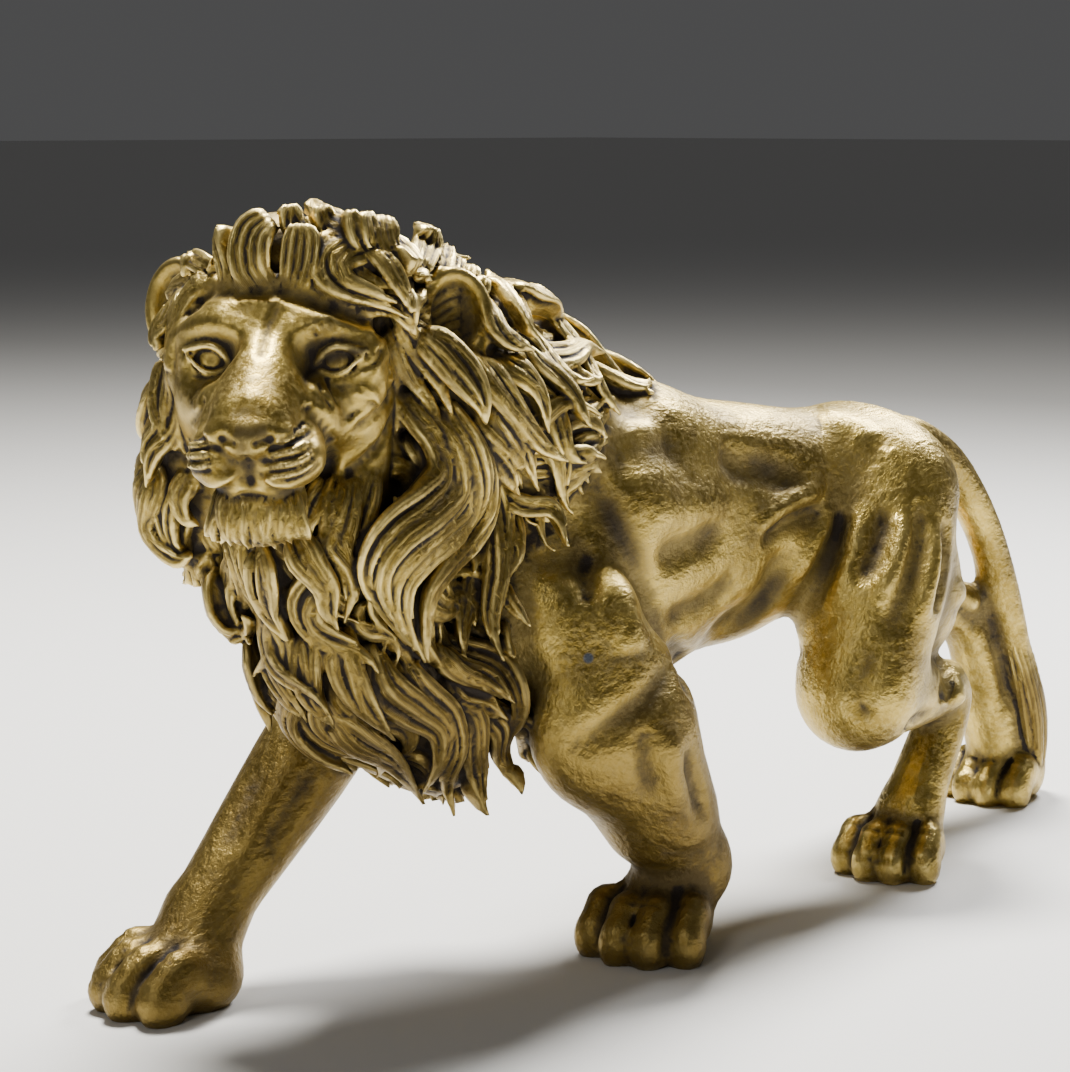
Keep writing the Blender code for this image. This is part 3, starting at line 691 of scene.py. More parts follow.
def chin(field):
    """Adds the tuft of the chin: one mass under fine locks, which lie close and curl under at their tips."""
    rng = np.random.default_rng(5)
    field.blob(HEAD.at(34.5, 0, -43), (7.6, 11.6, 7.8), HEAD.axes(pitch=10), blend=3)
    for place in np.concatenate([np.linspace(-1, 1, 7), np.linspace(-0.85, 0.85, 6)]):
        wave = rng.uniform(-0.8, 0.8)
        line = [
            (41 - 4 * place**2, 9.5 * place, -34),
            (45.5 - 6 * place**2, 11.5 * place + wave, -40),
            (45.0 - 6 * place**2, 13.0 * place - wave, -46),
            (40.5 - 5 * place**2, 14.0 * place + wave, -50 + 2 * place**2 + rng.uniform(-0.6, 0.6)),
        ]
        path = smooth_path(HEAD.line(line), 18)
        out = unit(np.tile(HEAD.forward + 0.5 * place * HEAD.left, (len(path), 1)))
        across, _ = ribbon_axes(path, out)
        wide = swell(np.linspace(0, 1, len(path)))
        tall = rng.uniform(1.7, 2.6)
        ribbon(field, path, across, out, 2.9 * wide, tall * wide, 3.4 * wide, rng)


# Where the middles of the eyes lie, left of the face's middle. The face is a little uneven.
EYES_LEFT = {1: 20.2, -1: 17.6}
# The lines of the lids as (outwards, up) from the eye's middle, from the tear to the outer corner, the radii
# of the lids, and the crease that runs on from the outer corner.
UPPER_LID = [(-7.8, -3.2), (-6.0, -0.4), (-3.6, 2.4), (-0.5, 3.6), (3.5, 3.3), (7.0, 2.7), (10.5, 2.8)]
LOWER_LID = [(-7.2, -3.4), (-4.5, -4.3), (-1.5, -4.4), (2.0, -3.2), (5.0, -0.8), (8.5, 1.6)]
LID_RADII = (1.15, 0.75)
OUTER_CREASE = [(4, 0.8), (7.5, 1.8), (11, 2.2)]


def eye(field, side):
    """Sets in a shallow socket a deep almond opening, in it the iris, and over it two lids."""
    middle = EYES_LEFT[side]

    def over_eye(forward, line):
        return HEAD.line([(forward, middle + outwards, up) for outwards, up in line], side)

    turned = HEAD.axes(yaw=side * 14, roll=-side * 14)
    field.hollow(HEAD.at(26.5, side * (middle - 0.5), 0.4), (6.4, 10, 6.6), turned, blend=5)
    field.blob(HEAD.at(13.6, side * middle, 0.6), (7.6, 9.8, 7.2), turned, blend=3)
    lids = [onto(field, over_eye(21, line)) for line in (UPPER_LID, LOWER_LID)]
    field.hollow(HEAD.at(22.2, side * (middle - 0.2), -0.4), (3.6, 6.6, 3.5), turned, blend=0.8)
    crease = smooth_path(over_eye(20, OUTER_CREASE), 7)
    field.groove(onto(field, crease), 1.1, 1.2, LINE_FADE)
    iris = HEAD.axes(yaw=side * 14)
    field.blob(HEAD.at(18.9, side * (middle - 1.0), -0.3), (2.3, 3.9, 4.0), iris, blend=0.3)
    field.hollow(HEAD.at(22.3, side * (middle - 1.0), -0.3), (1.6, 2.5, 2.5), iris, blend=0.4)
    for lid, radius in zip(lids, LID_RADII):
        ends = 1 - 0.45 * np.linspace(-1, 1, len(lid)) ** 2
        field.limb([(*point, radius * end) for point, end in zip(lid, ends)], blend=0.7)


def ear_middle(side):
    """The left ear stands clear of the hair. The right one is laid further back."""
    return HEAD.at(-23, 46, 9) if side > 0 else HEAD.at(-31, -38, 11)


def ear(field, side):
    """Adds a round ear, a bowl with a thick rim that opens forward and out, with hair lines inside."""
    pose = Pose(ear_middle(side), HEAD_YAW + side * 28, 8)
    field.blob(pose.at(-2.5, 0, 0), (4.8, 11.8, 14.4), pose.axes(), blend=3)
    field.hollow(pose.at(4.0, 0, 0.2), (6.6, 8.4, 11.0), pose.axes(), blend=1.6)
    angles = [2 * np.pi * step / 12 for step in range(13)]
    rim = [(*pose.at(0.8, 10.2 * np.cos(angle), 12.8 * np.sin(angle)), 1.9) for angle in angles]
    field.limb(rim, blend=2.5)
    for step in range(5):
        up = -6.0 + 3.0 * step
        hair = pose.line([(0, -7.2, up - 3), (-1, -2.5, up - 0.5), (-1, 3.0, up + 2.0)], side)
        field.groove(onto(field, smooth_path(hair, 7)), 1.1, -0.8, LINE_FADE)


# The mass under the mane: middle, half lengths and axes.
MANE = [
    (HEAD.at(-24, 0, 3), (24, 38, 27), HEAD.axes()),
    (HEAD.at(-16, -27, -28), (15, 17, 34), HEAD.axes()),
    (HEAD.at(-3, -1, 28), (13, 15, 12), HEAD.axes()),
    (HEAD.at(-7, 22, 21), (12, 18, 9), HEAD.axes(roll=-32)),
    ((-122, 3, 180), (38, 32, 37), UPRIGHT),
    ((-84, 0, 165), (34, 27, 29), UPRIGHT),
    ((-160, 0, 148), (29, 28, 32), UPRIGHT),
    ((-148, 2, 114), (28, 26, 36), UPRIGHT),
    ((-122, -1, 90), (22, 21, 24), UPRIGHT),
]
# What the locks lie on: the mane's mass, the skull, the chest and the shoulders.
UNDER = MANE + [
    SKULL,
    *[(at, half, UPRIGHT) for at, half in TRUNK[:2]],
    ((-84, -30, 104), (26, 17, 28), UPRIGHT),
    ((-100, 30, 104), (24, 16, 28), UPRIGHT),
]
UNDER_BLEND = 10.0


def depth(points):
    """How far points are outside what the locks lie on. It is below zero inside."""
    least = None
    for at, half, axes in UNDER:
        turned = (points - np.array(at)) @ np.array(axes).T
        half = np.array(half, float)
        near = np.sqrt(((turned / half) ** 2).sum(-1))
        slope = np.sqrt(((turned / half**2) ** 2).sum(-1)) + 1e-9
        own = near * (near - 1) / slope
        least = own if least is None else soft_least(least, own, UNDER_BLEND)
    return least


def normal(points):
    shifts = 0.5 * np.eye(3)
    return unit(np.stack([depth(points + shift) - depth(points - shift) for shift in shifts], -1))


def flow(points):
    """The way the hair lies: away from the face, back over the neck, and down on the chest."""
    away = unit(points - HEAD.at(6, 0, -6))
    low = np.clip((178 - points[:, 2]) / 60, 0, 1)[:, None]
    return 0.9 * away + (1 - 0.85 * low) * np.array([0.9, 0, -0.25]) + low * np.array([0.12, 0, -1.1])


# The samples along a lock that is laid by rule, and the least that are worth keeping.
LOCK_SAMPLES = 21
LEAST_SAMPLES = 7


def trace(roots, lengths, sway, phase, low, high):
    """Follows the flow from each root, swaying to both sides and rising from low to high off the mass."""
    points = roots.copy()
    path, normals = [], []
    for step in range(LOCK_SAMPLES):
        t = step / (LOCK_SAMPLES - 1)
        out = normal(points)
        lift = low + (high - low) * t**0.8
        points = points - (depth(points) - lift)[:, None] * out
        path.append(points.copy())
        normals.append(out)
        along = flow(points)
        along = unit(along - (along * out).sum(1, keepdims=True) * out)
        across = np.cross(out, along)
        bend = sway * np.sin(2 * np.pi * (0.1 + 0.9 * t) + phase)
        along = along * np.cos(bend)[:, None] + across * np.sin(bend)[:, None]
        points = points + along * (lengths / (LOCK_SAMPLES - 1))[:, None]
    return np.stack(path, 1), np.stack(normals, 1)


# Locks spread over the whole mane: spacing of their roots, length, half width, and rise off the mass.
ROOT_SPACING = 9.8
LOCK_LENGTH = 52.0
LOCK_HALF_WIDTH = 6.2
LOCK_FLATNESS = 0.6
LOCK_SWAY = 0.85
LOCK_PARTING = 0.55
LOCK_RISE = (-2.5, 6.5)
TRIED_ROOTS = 1400
EAR_ROOM = 14.5
# The mane's back edge: its place at and below a height, and how much further back it is for each unit of
# height above that. Near the spine it reaches further back.
EDGE_BACK = -102.0
EDGE_HEIGHT = 115.0
EDGE_SLOPE = 0.63
NAPE_BACK = 30.0
NAPE_HALF_WIDTH = 16
# The short hair between the locks.
SHORT_SPACING = 6.0
SHORT_LENGTH = 24.0
SHORT_HALF_WIDTH = 2.6
SHORT_RISE = (-2.0, 1.2)


def in_mane(points):
    """Whether points are where hair grows: behind the face, clear of the ears, ahead of the shoulders."""
    forward, left, up = HEAD.local(points)
    face = (forward > -4) & (np.abs(left) < 33) & (up > -46)
    ears = [np.linalg.norm(points - ear_middle(side), axis=1) < EAR_ROOM for side in (-1, 1)]
    back = -93 + 22 * np.clip((points[:, 2] - 150) / 40, -1, 1)
    return ~face & ~ears[0] & ~ears[1] & (points[:, 0] < back) & (points[:, 2] > 62)


def within_edge(path):
    """How many of a lock's points are ahead of the mane's back edge."""
    x, y, z = path.T
    above = np.clip(z - EDGE_HEIGHT, 0, 80)
    beyond = x > EDGE_BACK + EDGE_SLOPE * above + NAPE_BACK * (np.abs(y) < NAPE_HALF_WIDTH)
    return int(np.argmax(beyond)) if beyond.any() else len(path)


def on_face(points):
    forward, left, up = HEAD.local(points)
    return (forward > -6) & (np.abs(left) < 31) & (up > -42) & (up < 38)


def mane_roots(rng, spacing):
    """Roots all over the mane, no two of them nearer than the spacing."""
    kept = np.empty((0, 3))
    for at, half, axes in MANE:
        way = unit(rng.normal(size=(TRIED_ROOTS, 3)))
        points = np.array(at) + (way * np.array(half)) @ np.array(axes)
        points = points[depth(points) > -6]
        points = points - depth(points)[:, None] * normal(points)
        for point in points[in_mane(points)]:
            if not len(kept) or np.linalg.norm(kept - point, axis=1).min() > spacing:
                kept = np.vstack([kept, point])
    return kept


# Locks that show singly, each drawn down its middle in the picture's pixels: the middle's points, half width,
# and rise off the mass at root and tip.
DRAWN_LOCKS = {
    "wave, lowest": ([(312, 284), (326, 298), (350, 308), (380, 313), (402, 318)], 4.6, 4, 5),
    "wave, outer": (
        [(378, 242), (350, 238), (325, 252), (325, 277), (350, 296), (382, 305), (408, 318)],
        4.0, 5, 8,
    ),
    "wave, middle": ([(382, 254), (358, 252), (342, 263), (347, 279), (370, 290), (396, 302)], 3.6, 5, 9),
    "wave, inner": ([(388, 266), (370, 262), (356, 266), (360, 276), (380, 284), (400, 296)], 3.6, 3, 6),
    "temple, over": ([(396, 296), (406, 314), (416, 336)], 4.0, 4, 6),
    "wave, over": ([(310, 204), (336, 222), (362, 240), (384, 262), (402, 290), (412, 312)], 4.8, 5, 7),
    "far crown, band": ([(224, 278), (198, 288), (180, 312), (172, 340), (170, 360)], 4.4, 2, 6),
    "far side, first": ([(180, 292), (168, 316), (155, 334), (155, 350)], 4.2, 2, 8),
    "far side, second": ([(174, 355), (162, 380), (157, 408), (163, 438)], 4.6, 2, 7),
    "far side, third": ([(182, 408), (168, 430), (152, 452), (146, 486)], 5.0, 2, 7),
    "far side, lobe": ([(160, 470), (148, 500), (152, 535), (176, 560), (192, 556)], 6.0, 2, 7),
    "far side, inner lobe": ([(178, 478), (168, 508), (172, 540), (186, 556)], 4.4, 1, 5),
    "beside the chin": ([(190, 470), (178, 496), (184, 518), (198, 526)], 3.4, 1, 5),
    "temple": ([(396, 310), (408, 336), (424, 362), (441, 388), (452, 414)], 3.4, 2, 5),
    "temple, inner": ([(388, 316), (398, 350), (414, 382), (433, 408), (441, 438)], 3.0, 1, 4),
    "ear's foot": ([(412, 332), (438, 350), (462, 374), (478, 400), (486, 424)], 5.6, 4, 9),
    "great curl, root": (
        [(396, 388), (414, 416), (432, 442), (436, 468), (418, 492), (388, 516), (369, 546)],
        4.2, 2, 7,
    ),
    "great curl, first": (
        [(424, 418), (441, 446), (444, 474), (426, 500), (394, 524)]
        + [(374, 550), (368, 578), (380, 608), (406, 644)],
        5.0, 3, 9,
    ),
    "great curl, second": (
        [(436, 412), (458, 452), (460, 488), (436, 520), (404, 546), (386, 574), (390, 606), (414, 650)],
        5.4, 4, 10,
    ),
    "great curl, third": (
        [(446, 408), (470, 450), (476, 492), (458, 528), (424, 558), (404, 586), (406, 620), (425, 662)],
        5.4, 5, 11,
    ),
    "great curl, fourth": (
        [(458, 412), (482, 456), (488, 500), (476, 532), (448, 566), (430, 596), (426, 632), (428, 662)],
        4.6, 4, 9,
    ),
    "cheek, first": ([(356, 470), (352, 510), (344, 548), (348, 580)], 3.4, 0, 4),
    "cheek, second": ([(376, 462), (370, 500), (358, 540), (352, 572)], 3.2, -1, 3),
    "cheek, third": ([(410, 436), (420, 456), (428, 474)], 2.8, 0, 3),
    "jaw, first": ([(326, 478), (314, 510), (306, 540)], 3.4, 1, 4),
    "jaw, second": ([(340, 472), (334, 505), (326, 538), (332, 560)], 3.4, 0, 4),
    "behind the ear, first": ([(488, 280), (506, 292), (524, 314), (538, 338)], 5.0, 4, 8),
    "behind the ear, second": ([(484, 300), (492, 322), (510, 340), (534, 350)], 4.6, 3, 7),
    "nape, top": ([(498, 284), (526, 290), (550, 298), (564, 320)], 4.6, 4, 9),
    "nape, first": ([(530, 304), (556, 324), (584, 358), (604, 392), (620, 414)], 4.6, 1, 3),
    "nape, second": ([(556, 316), (584, 338), (612, 368), (630, 390), (643, 412)], 4.0, 1, 2),
    "nape, third": ([(592, 350), (622, 364), (650, 382), (668, 408), (690, 442)], 3.4, 1, 2),
    "nape, fourth": ([(520, 344), (552, 370), (574, 394), (591, 427)], 4.6, 2, 7),
    "nape, fifth": ([(496, 362), (524, 378), (541, 400), (549, 432)], 4.6, 2, 7),
    "nape, sixth": ([(470, 354), (490, 380), (512, 410), (538, 442), (567, 461)], 5.0, 3, 8),
    "nape, seventh": ([(476, 410), (498, 434), (514, 454), (521, 470)], 4.4, 2, 7),
    "nape, eighth": ([(492, 398), (510, 424), (526, 456), (538, 490)], 4.2, 3, 7),
    "nape, ninth": ([(462, 436), (488, 458), (508, 478), (519, 495)], 4.4, 2, 7),
    "nape, twig": ([(500, 492), (524, 504), (548, 506), (560, 520), (568, 546)], 3.2, 3, 8),
    "side, first": ([(484, 470), (497, 520), (498, 570), (490, 620), (503, 660)], 4.8, 1, 7),
    "side, second": ([(500, 500), (512, 530), (516, 556), (510, 574)], 3.4, 0, 5),
    "side, third": ([(497, 580), (508, 600), (530, 626)], 3.4, 0, 6),
    "side, fourth": ([(494, 625), (504, 642), (514, 657)], 3.2, 0, 6),
    "side, inner": ([(480, 540), (472, 580), (462, 618), (464, 656)], 4.6, 0, 5),
    "side, lower": ([(432, 648), (456, 668), (486, 680), (514, 703)], 5.0, 2, 7),
    "side, lowest": ([(440, 672), (460, 694), (486, 704), (508, 720)], 4.6, 1, 6),
    "beard, curl": ([(214, 546), (209, 578), (213, 612), (230, 633), (246, 628), (242, 616)], 4.4, 2, 7),
    "beard, first": ([(236, 548), (230, 582), (238, 616), (250, 644)], 4.6, 2, 6),
    "beard, second": ([(262, 544), (262, 580), (270, 612), (288, 642)], 5.0, 2, 6),
    "beard, third": ([(294, 534), (306, 560), (325, 586), (328, 610), (338, 630)], 5.2, 3, 8),
    "beard, fourth": ([(322, 520), (332, 546), (347, 568), (351, 594), (345, 622)], 4.2, 1, 5),
    "beard, low, first": ([(248, 640), (252, 672), (260, 696), (272, 714)], 4.4, 1, 6),
    "beard, low, second": ([(272, 640), (276, 672), (288, 698), (300, 716)], 4.6, 1, 6),
    "beard, low, third": ([(304, 628), (304, 664), (314, 698), (334, 728)], 5.2, 2, 7),
    "chest, first": ([(342, 628), (348, 668), (362, 704), (394, 740)], 5.2, 2, 7),
    "chest, second": ([(330, 712), (358, 740), (394, 764), (424, 804)], 5.0, 1, 8),
    "chest, third": ([(370, 646), (384, 688), (412, 710), (440, 730), (440, 762), (424, 792)], 5.2, 1, 8),
    "chest, fourth": ([(398, 658), (420, 690), (448, 714), (456, 748), (446, 782), (454, 815)], 4.8, 1, 8),
    "chest, fifth": ([(440, 690), (468, 718), (472, 752), (478, 786), (488, 815)], 4.8, 1, 8),
    "chest, sixth": ([(474, 700), (500, 724), (500, 756), (522, 793)], 4.8, 1, 8),
    "chest, seventh": ([(500, 706), (524, 728), (530, 754), (548, 780)], 4.4, 1, 7),
}
# Short locks that stand up and end in a round rim, drawn in the same way.
DRAWN_SHELLS = {
    "crown, seventh": ([(462, 290), (470, 278), (473, 266)], 3.4, 3, 8),
    "crown, eighth": ([(474, 298), (482, 290), (486, 279)], 3.4, 3, 8),
    "crown, sixth": ([(446, 282), (453, 270), (459, 258)], 3.6, 3, 8),
    "crown, fifth": ([(440, 280), (446, 262), (449, 246)], 4.6, 4, 10),
    "crown, fourth": ([(420, 276), (426, 254), (434, 230)], 5.4, 4, 11),
    "crown, first": ([(364, 252), (357, 232), (352, 212)], 4.6, 6, 12),
    "crown, second": ([(378, 252), (374, 232), (369, 213)], 4.2, 6, 12),
    "crown, third": ([(390, 256), (388, 238), (385, 217)], 4.8, 6, 11),
    "crown, scoop": ([(366, 252), (384, 242), (404, 246), (418, 260)], 5.0, 5, 9),
    "far crown, low": ([(216, 272), (204, 264), (192, 257), (184, 256)], 4.0, 2, 8),
    "quiff, back": ([(328, 236), (326, 220), (322, 207)], 4.4, 4, 8),
    "quiff, top": ([(298, 240), (292, 222), (290, 206)], 4.8, 4, 8),
    "quiff, left tuft": ([(228, 290), (222, 266), (216, 244), (217, 228)], 4.0, 3, 8),
    "quiff, left shell": ([(262, 292), (249, 272), (246, 250), (252, 230), (266, 218)], 7.2, 4, 8),
    "quiff, right shell": ([(292, 291), (297, 268), (300, 246), (301, 226)], 6.2, 4, 8),
}
SAMPLES_PER_POINT = 6
# How far below the mass a drawn lock starts, and the share of its length over which it comes up.
ROOT_DIVE = 4.0
ROOT_DIVE_SHARE = 0.07

# Dark gaps between the locks, drawn in the same pixels: the line, its width and its depth in the mass.
GAPS = {
    "under the quiff": ([(196, 300), (214, 288), (250, 288), (292, 292), (340, 308), (386, 322)], 4.0, 5.0),
    "beside the face": ([(404, 430), (408, 470), (396, 520), (372, 560), (356, 600)], 5.5, 9.0),
    "under the great curl": ([(352, 580), (356, 620), (376, 650), (410, 672)], 5.0, 6.0),
    "beside the great curl": ([(486, 540), (466, 580), (448, 620), (440, 650)], 4.0, 6.0),
    "under the beard": ([(250, 648), (280, 646), (306, 632), (340, 622)], 3.5, 4.0),
    "crown": ([(372, 262), (396, 262), (414, 276), (420, 296)], 4.0, 5.0),
}


def at_lift(pixels, lifts):
    """Points on the lines of sight through the pixels, as far off the mass as the lifts say.

    A line of sight that passes further off keeps the distance of the lock's nearest point that doesn't.
    """
    found, met = [], []
    for ray, lift in zip(sight(pixels), lifts):
        outside = depth(EYE + ray * MASS_REACH[:, None])
        near = np.flatnonzero(outside < lift)
        met.append(len(near) > 0 and near[0] > 0)
        if met[-1]:
            i = near[0]
            share = (outside[i - 1] - lift) / (outside[i - 1] - outside[i])
            found.append(MASS_REACH[i - 1] + share * (MASS_REACH[i] - MASS_REACH[i - 1]))
        else:
            found.append(MASS_REACH[np.argmin(outside)])
    found, met = np.array(found), np.flatnonzero(met)
    if len(met):
        found = np.interp(np.arange(len(found)), met, found[met])
    for _ in range(3):
        found[1:-1] = 0.25 * found[:-2] + 0.5 * found[1:-1] + 0.25 * found[2:]
    return EYE + sight(pixels) * found[:, None]


def drawn_path(pixels, low, high):
    """The smooth path of a drawn lock over the mass, and the way out of the mass along it."""
    pixels = smooth_path(pixels, SAMPLES_PER_POINT * len(pixels) + 1)
    t = np.linspace(0, 1, len(pixels))
    lifts = low + (high - low) * t**0.8 - ROOT_DIVE * np.exp(-t / ROOT_DIVE_SHARE)
    path = at_lift(pixels, lifts)
    return path, normal(path)


def swell(t):
    """How wide a lock is along its length: it widens from its root and runs out to a long point."""
    return np.minimum(1, 0.5 + 2.2 * t) * (1 - np.minimum(t, 1) ** 2.1) ** 0.85


STRAND_WIDTH = 2.1
STRAND_DEPTH = 0.65
# The flutes of a shell: their width, and their depth as a share of a strand's.
FLUTE_WIDTH = 2.7
SHELL_CARVING = 2.2
# Where the narrower ribbons of a lock lie, as shares of its half width.
RIBBONS = (-0.62, 0.04, 0.66)
# The least half width and half height of a ribbon.
RIBBON_LEAST = 0.6


def ribbon_axes(path, normals):
    """The directions across a path and out of the mass, square to the path."""
    along = unit(np.gradient(path, axis=0))
    across = unit(np.cross(normals, along))
    return across, np.cross(along, across)


def skirt(path):
    """How far a lock reaches down from its path, to close the gap to the mass."""
    return 0.75 * np.clip(depth(path) - 1, 0, 9)


def lock(field, path, normals, half_width, half_thick, rng, parting=1.0):
    """Adds a lock: a ribbon that reaches down to the mass, and narrower ones over it that part to the tip."""
    across, out = ribbon_axes(path, normals)
    t = np.linspace(0, 1, len(path))
    wide = half_width * swell(t)
    thick = half_thick * swell(t) ** 0.7
    low = thick + skirt(path) * swell(t) ** 0.6
    ribbon(field, path, across, out, 0.92 * wide, 0.5 * thick, low, rng, carving=0.0)
    for place in RIBBONS:
        end = rng.uniform(0.8, 1.0)
        keep = t <= end
        s = t[keep] / end
        sway = 0.2 * np.sin(2 * np.pi * (rng.uniform(0.4, 1.0) * s + rng.uniform()))
        lane = place * (1 + 0.3 * s) + sway
        rise = parting * rng.uniform(0.2, 0.7) - 0.25 * abs(place)
        aside = (lane * wide[keep])[:, None] * across[keep]
        middle = path[keep] + aside + (rise * thick[keep])[:, None] * out[keep]
        own = 0.55 * half_width * swell(s)
        tall = 0.8 * half_thick * swell(s) ** 0.7
        ribbon(field, middle, across[keep], out[keep], own, tall, tall, rng, lean=-0.45 * place)


def shell(field, path, normals, half_width, rng):
    """Adds a short lock like a scoop: strands that fan out, a round end, and a rim round a hollow middle."""
    across, out = ribbon_axes(path, normals)
    t = np.linspace(0, 1, len(path))
    end = np.sqrt(1 - 0.6 * (np.maximum(t - 0.7, 0) / 0.3) ** 2)
    wide = half_width * (0.7 + 0.3 * np.minimum(2.5 * t, 1)) * end
    thick = np.full(len(path), 0.2 * half_width + 0.5)
    low = thick + skirt(path)
    ribbon(field, path, across, out, wide, thick, low, rng, carving=SHELL_CARVING, spacing=FLUTE_WIDTH)
    field.groove(path + thick[:, None] * out, 0.5 * half_width, 0.16 * half_width)


def ribbon(field, path, across, out, wide, high, low, rng, lean=0.0, carving=1.0, spacing=STRAND_WIDTH):
    """Adds a ribbon of oval sections, high above its path and low below it, with strands along its top."""
    t = np.linspace(0, 1, len(path))
    wide, high, low = [np.maximum(half, RIBBON_LEAST) for half in (wide, high, low)]
    turn = (lean + rng.uniform(-0.25, 0.25) + rng.uniform(-0.35, 0.35) * t)[:, None]
    across, out = np.cos(turn) * across + np.sin(turn) * out, np.cos(turn) * out - np.sin(turn) * across
    strands = max(1, round(2 * wide.max() / spacing))
    phase = rng.uniform(0, 2) + rng.uniform(-0.7, 0.7) * t
    deep = carving * STRAND_DEPTH * np.clip(3 * wide / (strands * spacing) - 0.5, 0, 1)
    for i in range(len(path) - 1):
        a, b = path[i], path[i + 1]
        way = b - a
        length = np.sqrt(way @ way)
        if length < 1e-3:
            continue
        reach = max(wide[i], wide[i + 1], low[i], low[i + 1], high[i], high[i + 1]) + 1.6 * field.step
        window = field.window(np.minimum(a, b) - reach, np.maximum(a, b) + reach)
        if window is None:
            continue
        cut, x, y, z = window
        x, y, z = x - a[0], y - a[1], z - a[2]
        raw = (x * way[0] + y * way[1] + z * way[2]) / length**2
        share = np.clip(raw, 0, 1)
        beyond = (raw - share) * length
        x, y, z = x - share * way[0], y - share * way[1], z - share * way[2]
        u, v = [
            x * (start[0] + share * (end[0] - start[0]))
            + y * (start[1] + share * (end[1] - start[1]))
            + z * (start[2] + share * (end[2] - start[2]))
            for start, end in ((across[i], across[i + 1]), (out[i], out[i + 1]))
        ]
        half = wide[i] + (wide[i + 1] - wide[i]) * share
        over = high[i] + (high[i + 1] - high[i]) * share
        under = low[i] + (low[i + 1] - low[i]) * share
        tall = np.where(v > 0, over, under)
        near = np.sqrt((u / half) ** 2 + (v / tall) ** 2 + (beyond / over) ** 2)
        slope = np.sqrt((u / half**2) ** 2 + (v / tall**2) ** 2 + (beyond / over**2) ** 2) + 1e-6
        strand = strands * u / half + phase[i] + (phase[i + 1] - phase[i]) * share
        cleft = 0.5 + 0.5 * np.cos(np.pi * strand)
        field.join(cut, near * (near - 1) / slope + deep[i] * cleft, strand=strand)


def draw_hair(field, rng):
    """Adds the locks and the shells that are drawn, and gives the points of their middles."""
    middles = []
    for pixels, half_width, low, high in DRAWN_LOCKS.values():
        path, out = drawn_path(pixels, low, high)
        middles.append(path)
        lock(field, path, out, half_width, 0.5 * half_width, rng)
    for pixels, half_width, low, high in DRAWN_SHELLS.values():
        path, out = drawn_path(pixels, low, high)
        middles.append(path)
        shell(field, path, out, half_width, rng)
    return np.vstack(middles)


def laid_hair(rng, spacing, length, half_width, rise):
    """Paths laid over the whole mane by rule, each with its normals and its half width."""
    roots = mane_roots(rng, spacing)
    count = len(roots)
    waves = 2.2 * np.sin(roots[:, 0] / 21) + 1.9 * np.sin(roots[:, 1] / 17 + roots[:, 2] / 27)
    paths, normals = trace(
        roots,
        length * rng.uniform(0.75, 1.25, count),
        LOCK_SWAY * rng.uniform(0.6, 1.4, count),
        waves + rng.uniform(-0.9, 0.9, count),
        rise[0],
        rise[1] * rng.uniform(0.5, 1.4, count),
    )
    widths = half_width * rng.uniform(0.65, 1.25, count)
    for path, out, wide in zip(paths, normals, widths):
        kept = within_edge(path)
        if kept >= LEAST_SAMPLES and not on_face(path).any():
            yield path[:kept], out[:kept], wide


def mane(field):
    for at, half, axes in MANE:
        field.blob(at, half, axes)
    for pixels, width, deep in GAPS.values():
        pixels = fine_path(pixels)
        field.groove(at_lift(pixels, np.zeros(len(pixels))), width, deep)
    rng = np.random.default_rng(11)
    drawn = draw_hair(field, rng)
    for path, out, wide in laid_hair(rng, SHORT_SPACING, SHORT_LENGTH, SHORT_HALF_WIDTH, SHORT_RISE):
        across, _ = ribbon_axes(path, out)
        half = swell(np.linspace(0, 1, len(path)))
        ribbon(field, path, across, out, wide * half, 0.7 * wide * half, 0.7 * wide * half, rng)
    for path, out, wide in laid_hair(rng, ROOT_SPACING, LOCK_LENGTH, LOCK_HALF_WIDTH, LOCK_RISE):
        if np.linalg.norm(drawn - path[len(path) // 2], axis=1).min() > wide:
            lock(field, path, out, wide, LOCK_FLATNESS * wide, rng, LOCK_PARTING)


# The tail's tuft: its ribbons, and the line they lie round as (x, y, z, distance of the ribbons from it).
TUFT_WAYS = 7
TUFT_LINE = [(188, 11, 70, 4.0), (196, 11, 52, 5.2), (202, 11, 34, 6.4), (205, 10, 16, 4.6), (205, 9, 3, 1.0)]


def tail_tuft(field):
    """Adds the tuft at the tail's end: ribbons round the tail that swell and meet near the ground."""
    rng = np.random.default_rng(3)
    for number in range(TUFT_WAYS):
        angle = 2 * np.pi * number / TUFT_WAYS
        away = np.array([np.cos(angle), np.sin(angle), 0.0])
        path = smooth_path([np.array(at) + far * away for *at, far in TUFT_LINE], 20)
        out = np.tile(away, (len(path), 1))
        across, _ = ribbon_axes(path, out)
        wide = 4.4 * swell(0.15 + 0.83 * np.linspace(0, 1, len(path)))
        ribbon(field, path, across, out, wide, 0.6 * wide, 0.8 * wide, rng)


def cut_soles(field):
    """Cuts the surface off flat at the ground."""
    z = field.low[2] + field.step * np.arange(field.d.shape[2])
    field.d = np.maximum(field.d, -z.astype(np.float32))


def sculpt(step):
    """The finished field, and how far its points are outside the bare body and outside the mane."""
    field = Field(GRID_LOW, GRID_HIGH, step)
    trunk(field)
    legs(field)
    field.soften(2.0)
    muscles(field)
    body = field.d.copy()
    tail_tuft(field)
    mane(field)
    haired = field.d.copy()
    head(field)
    bare = field.d.copy()
    chin(field)
    haired = np.where(field.d < bare, field.d, haired)
    cut_soles(field)
    return field, body, haired


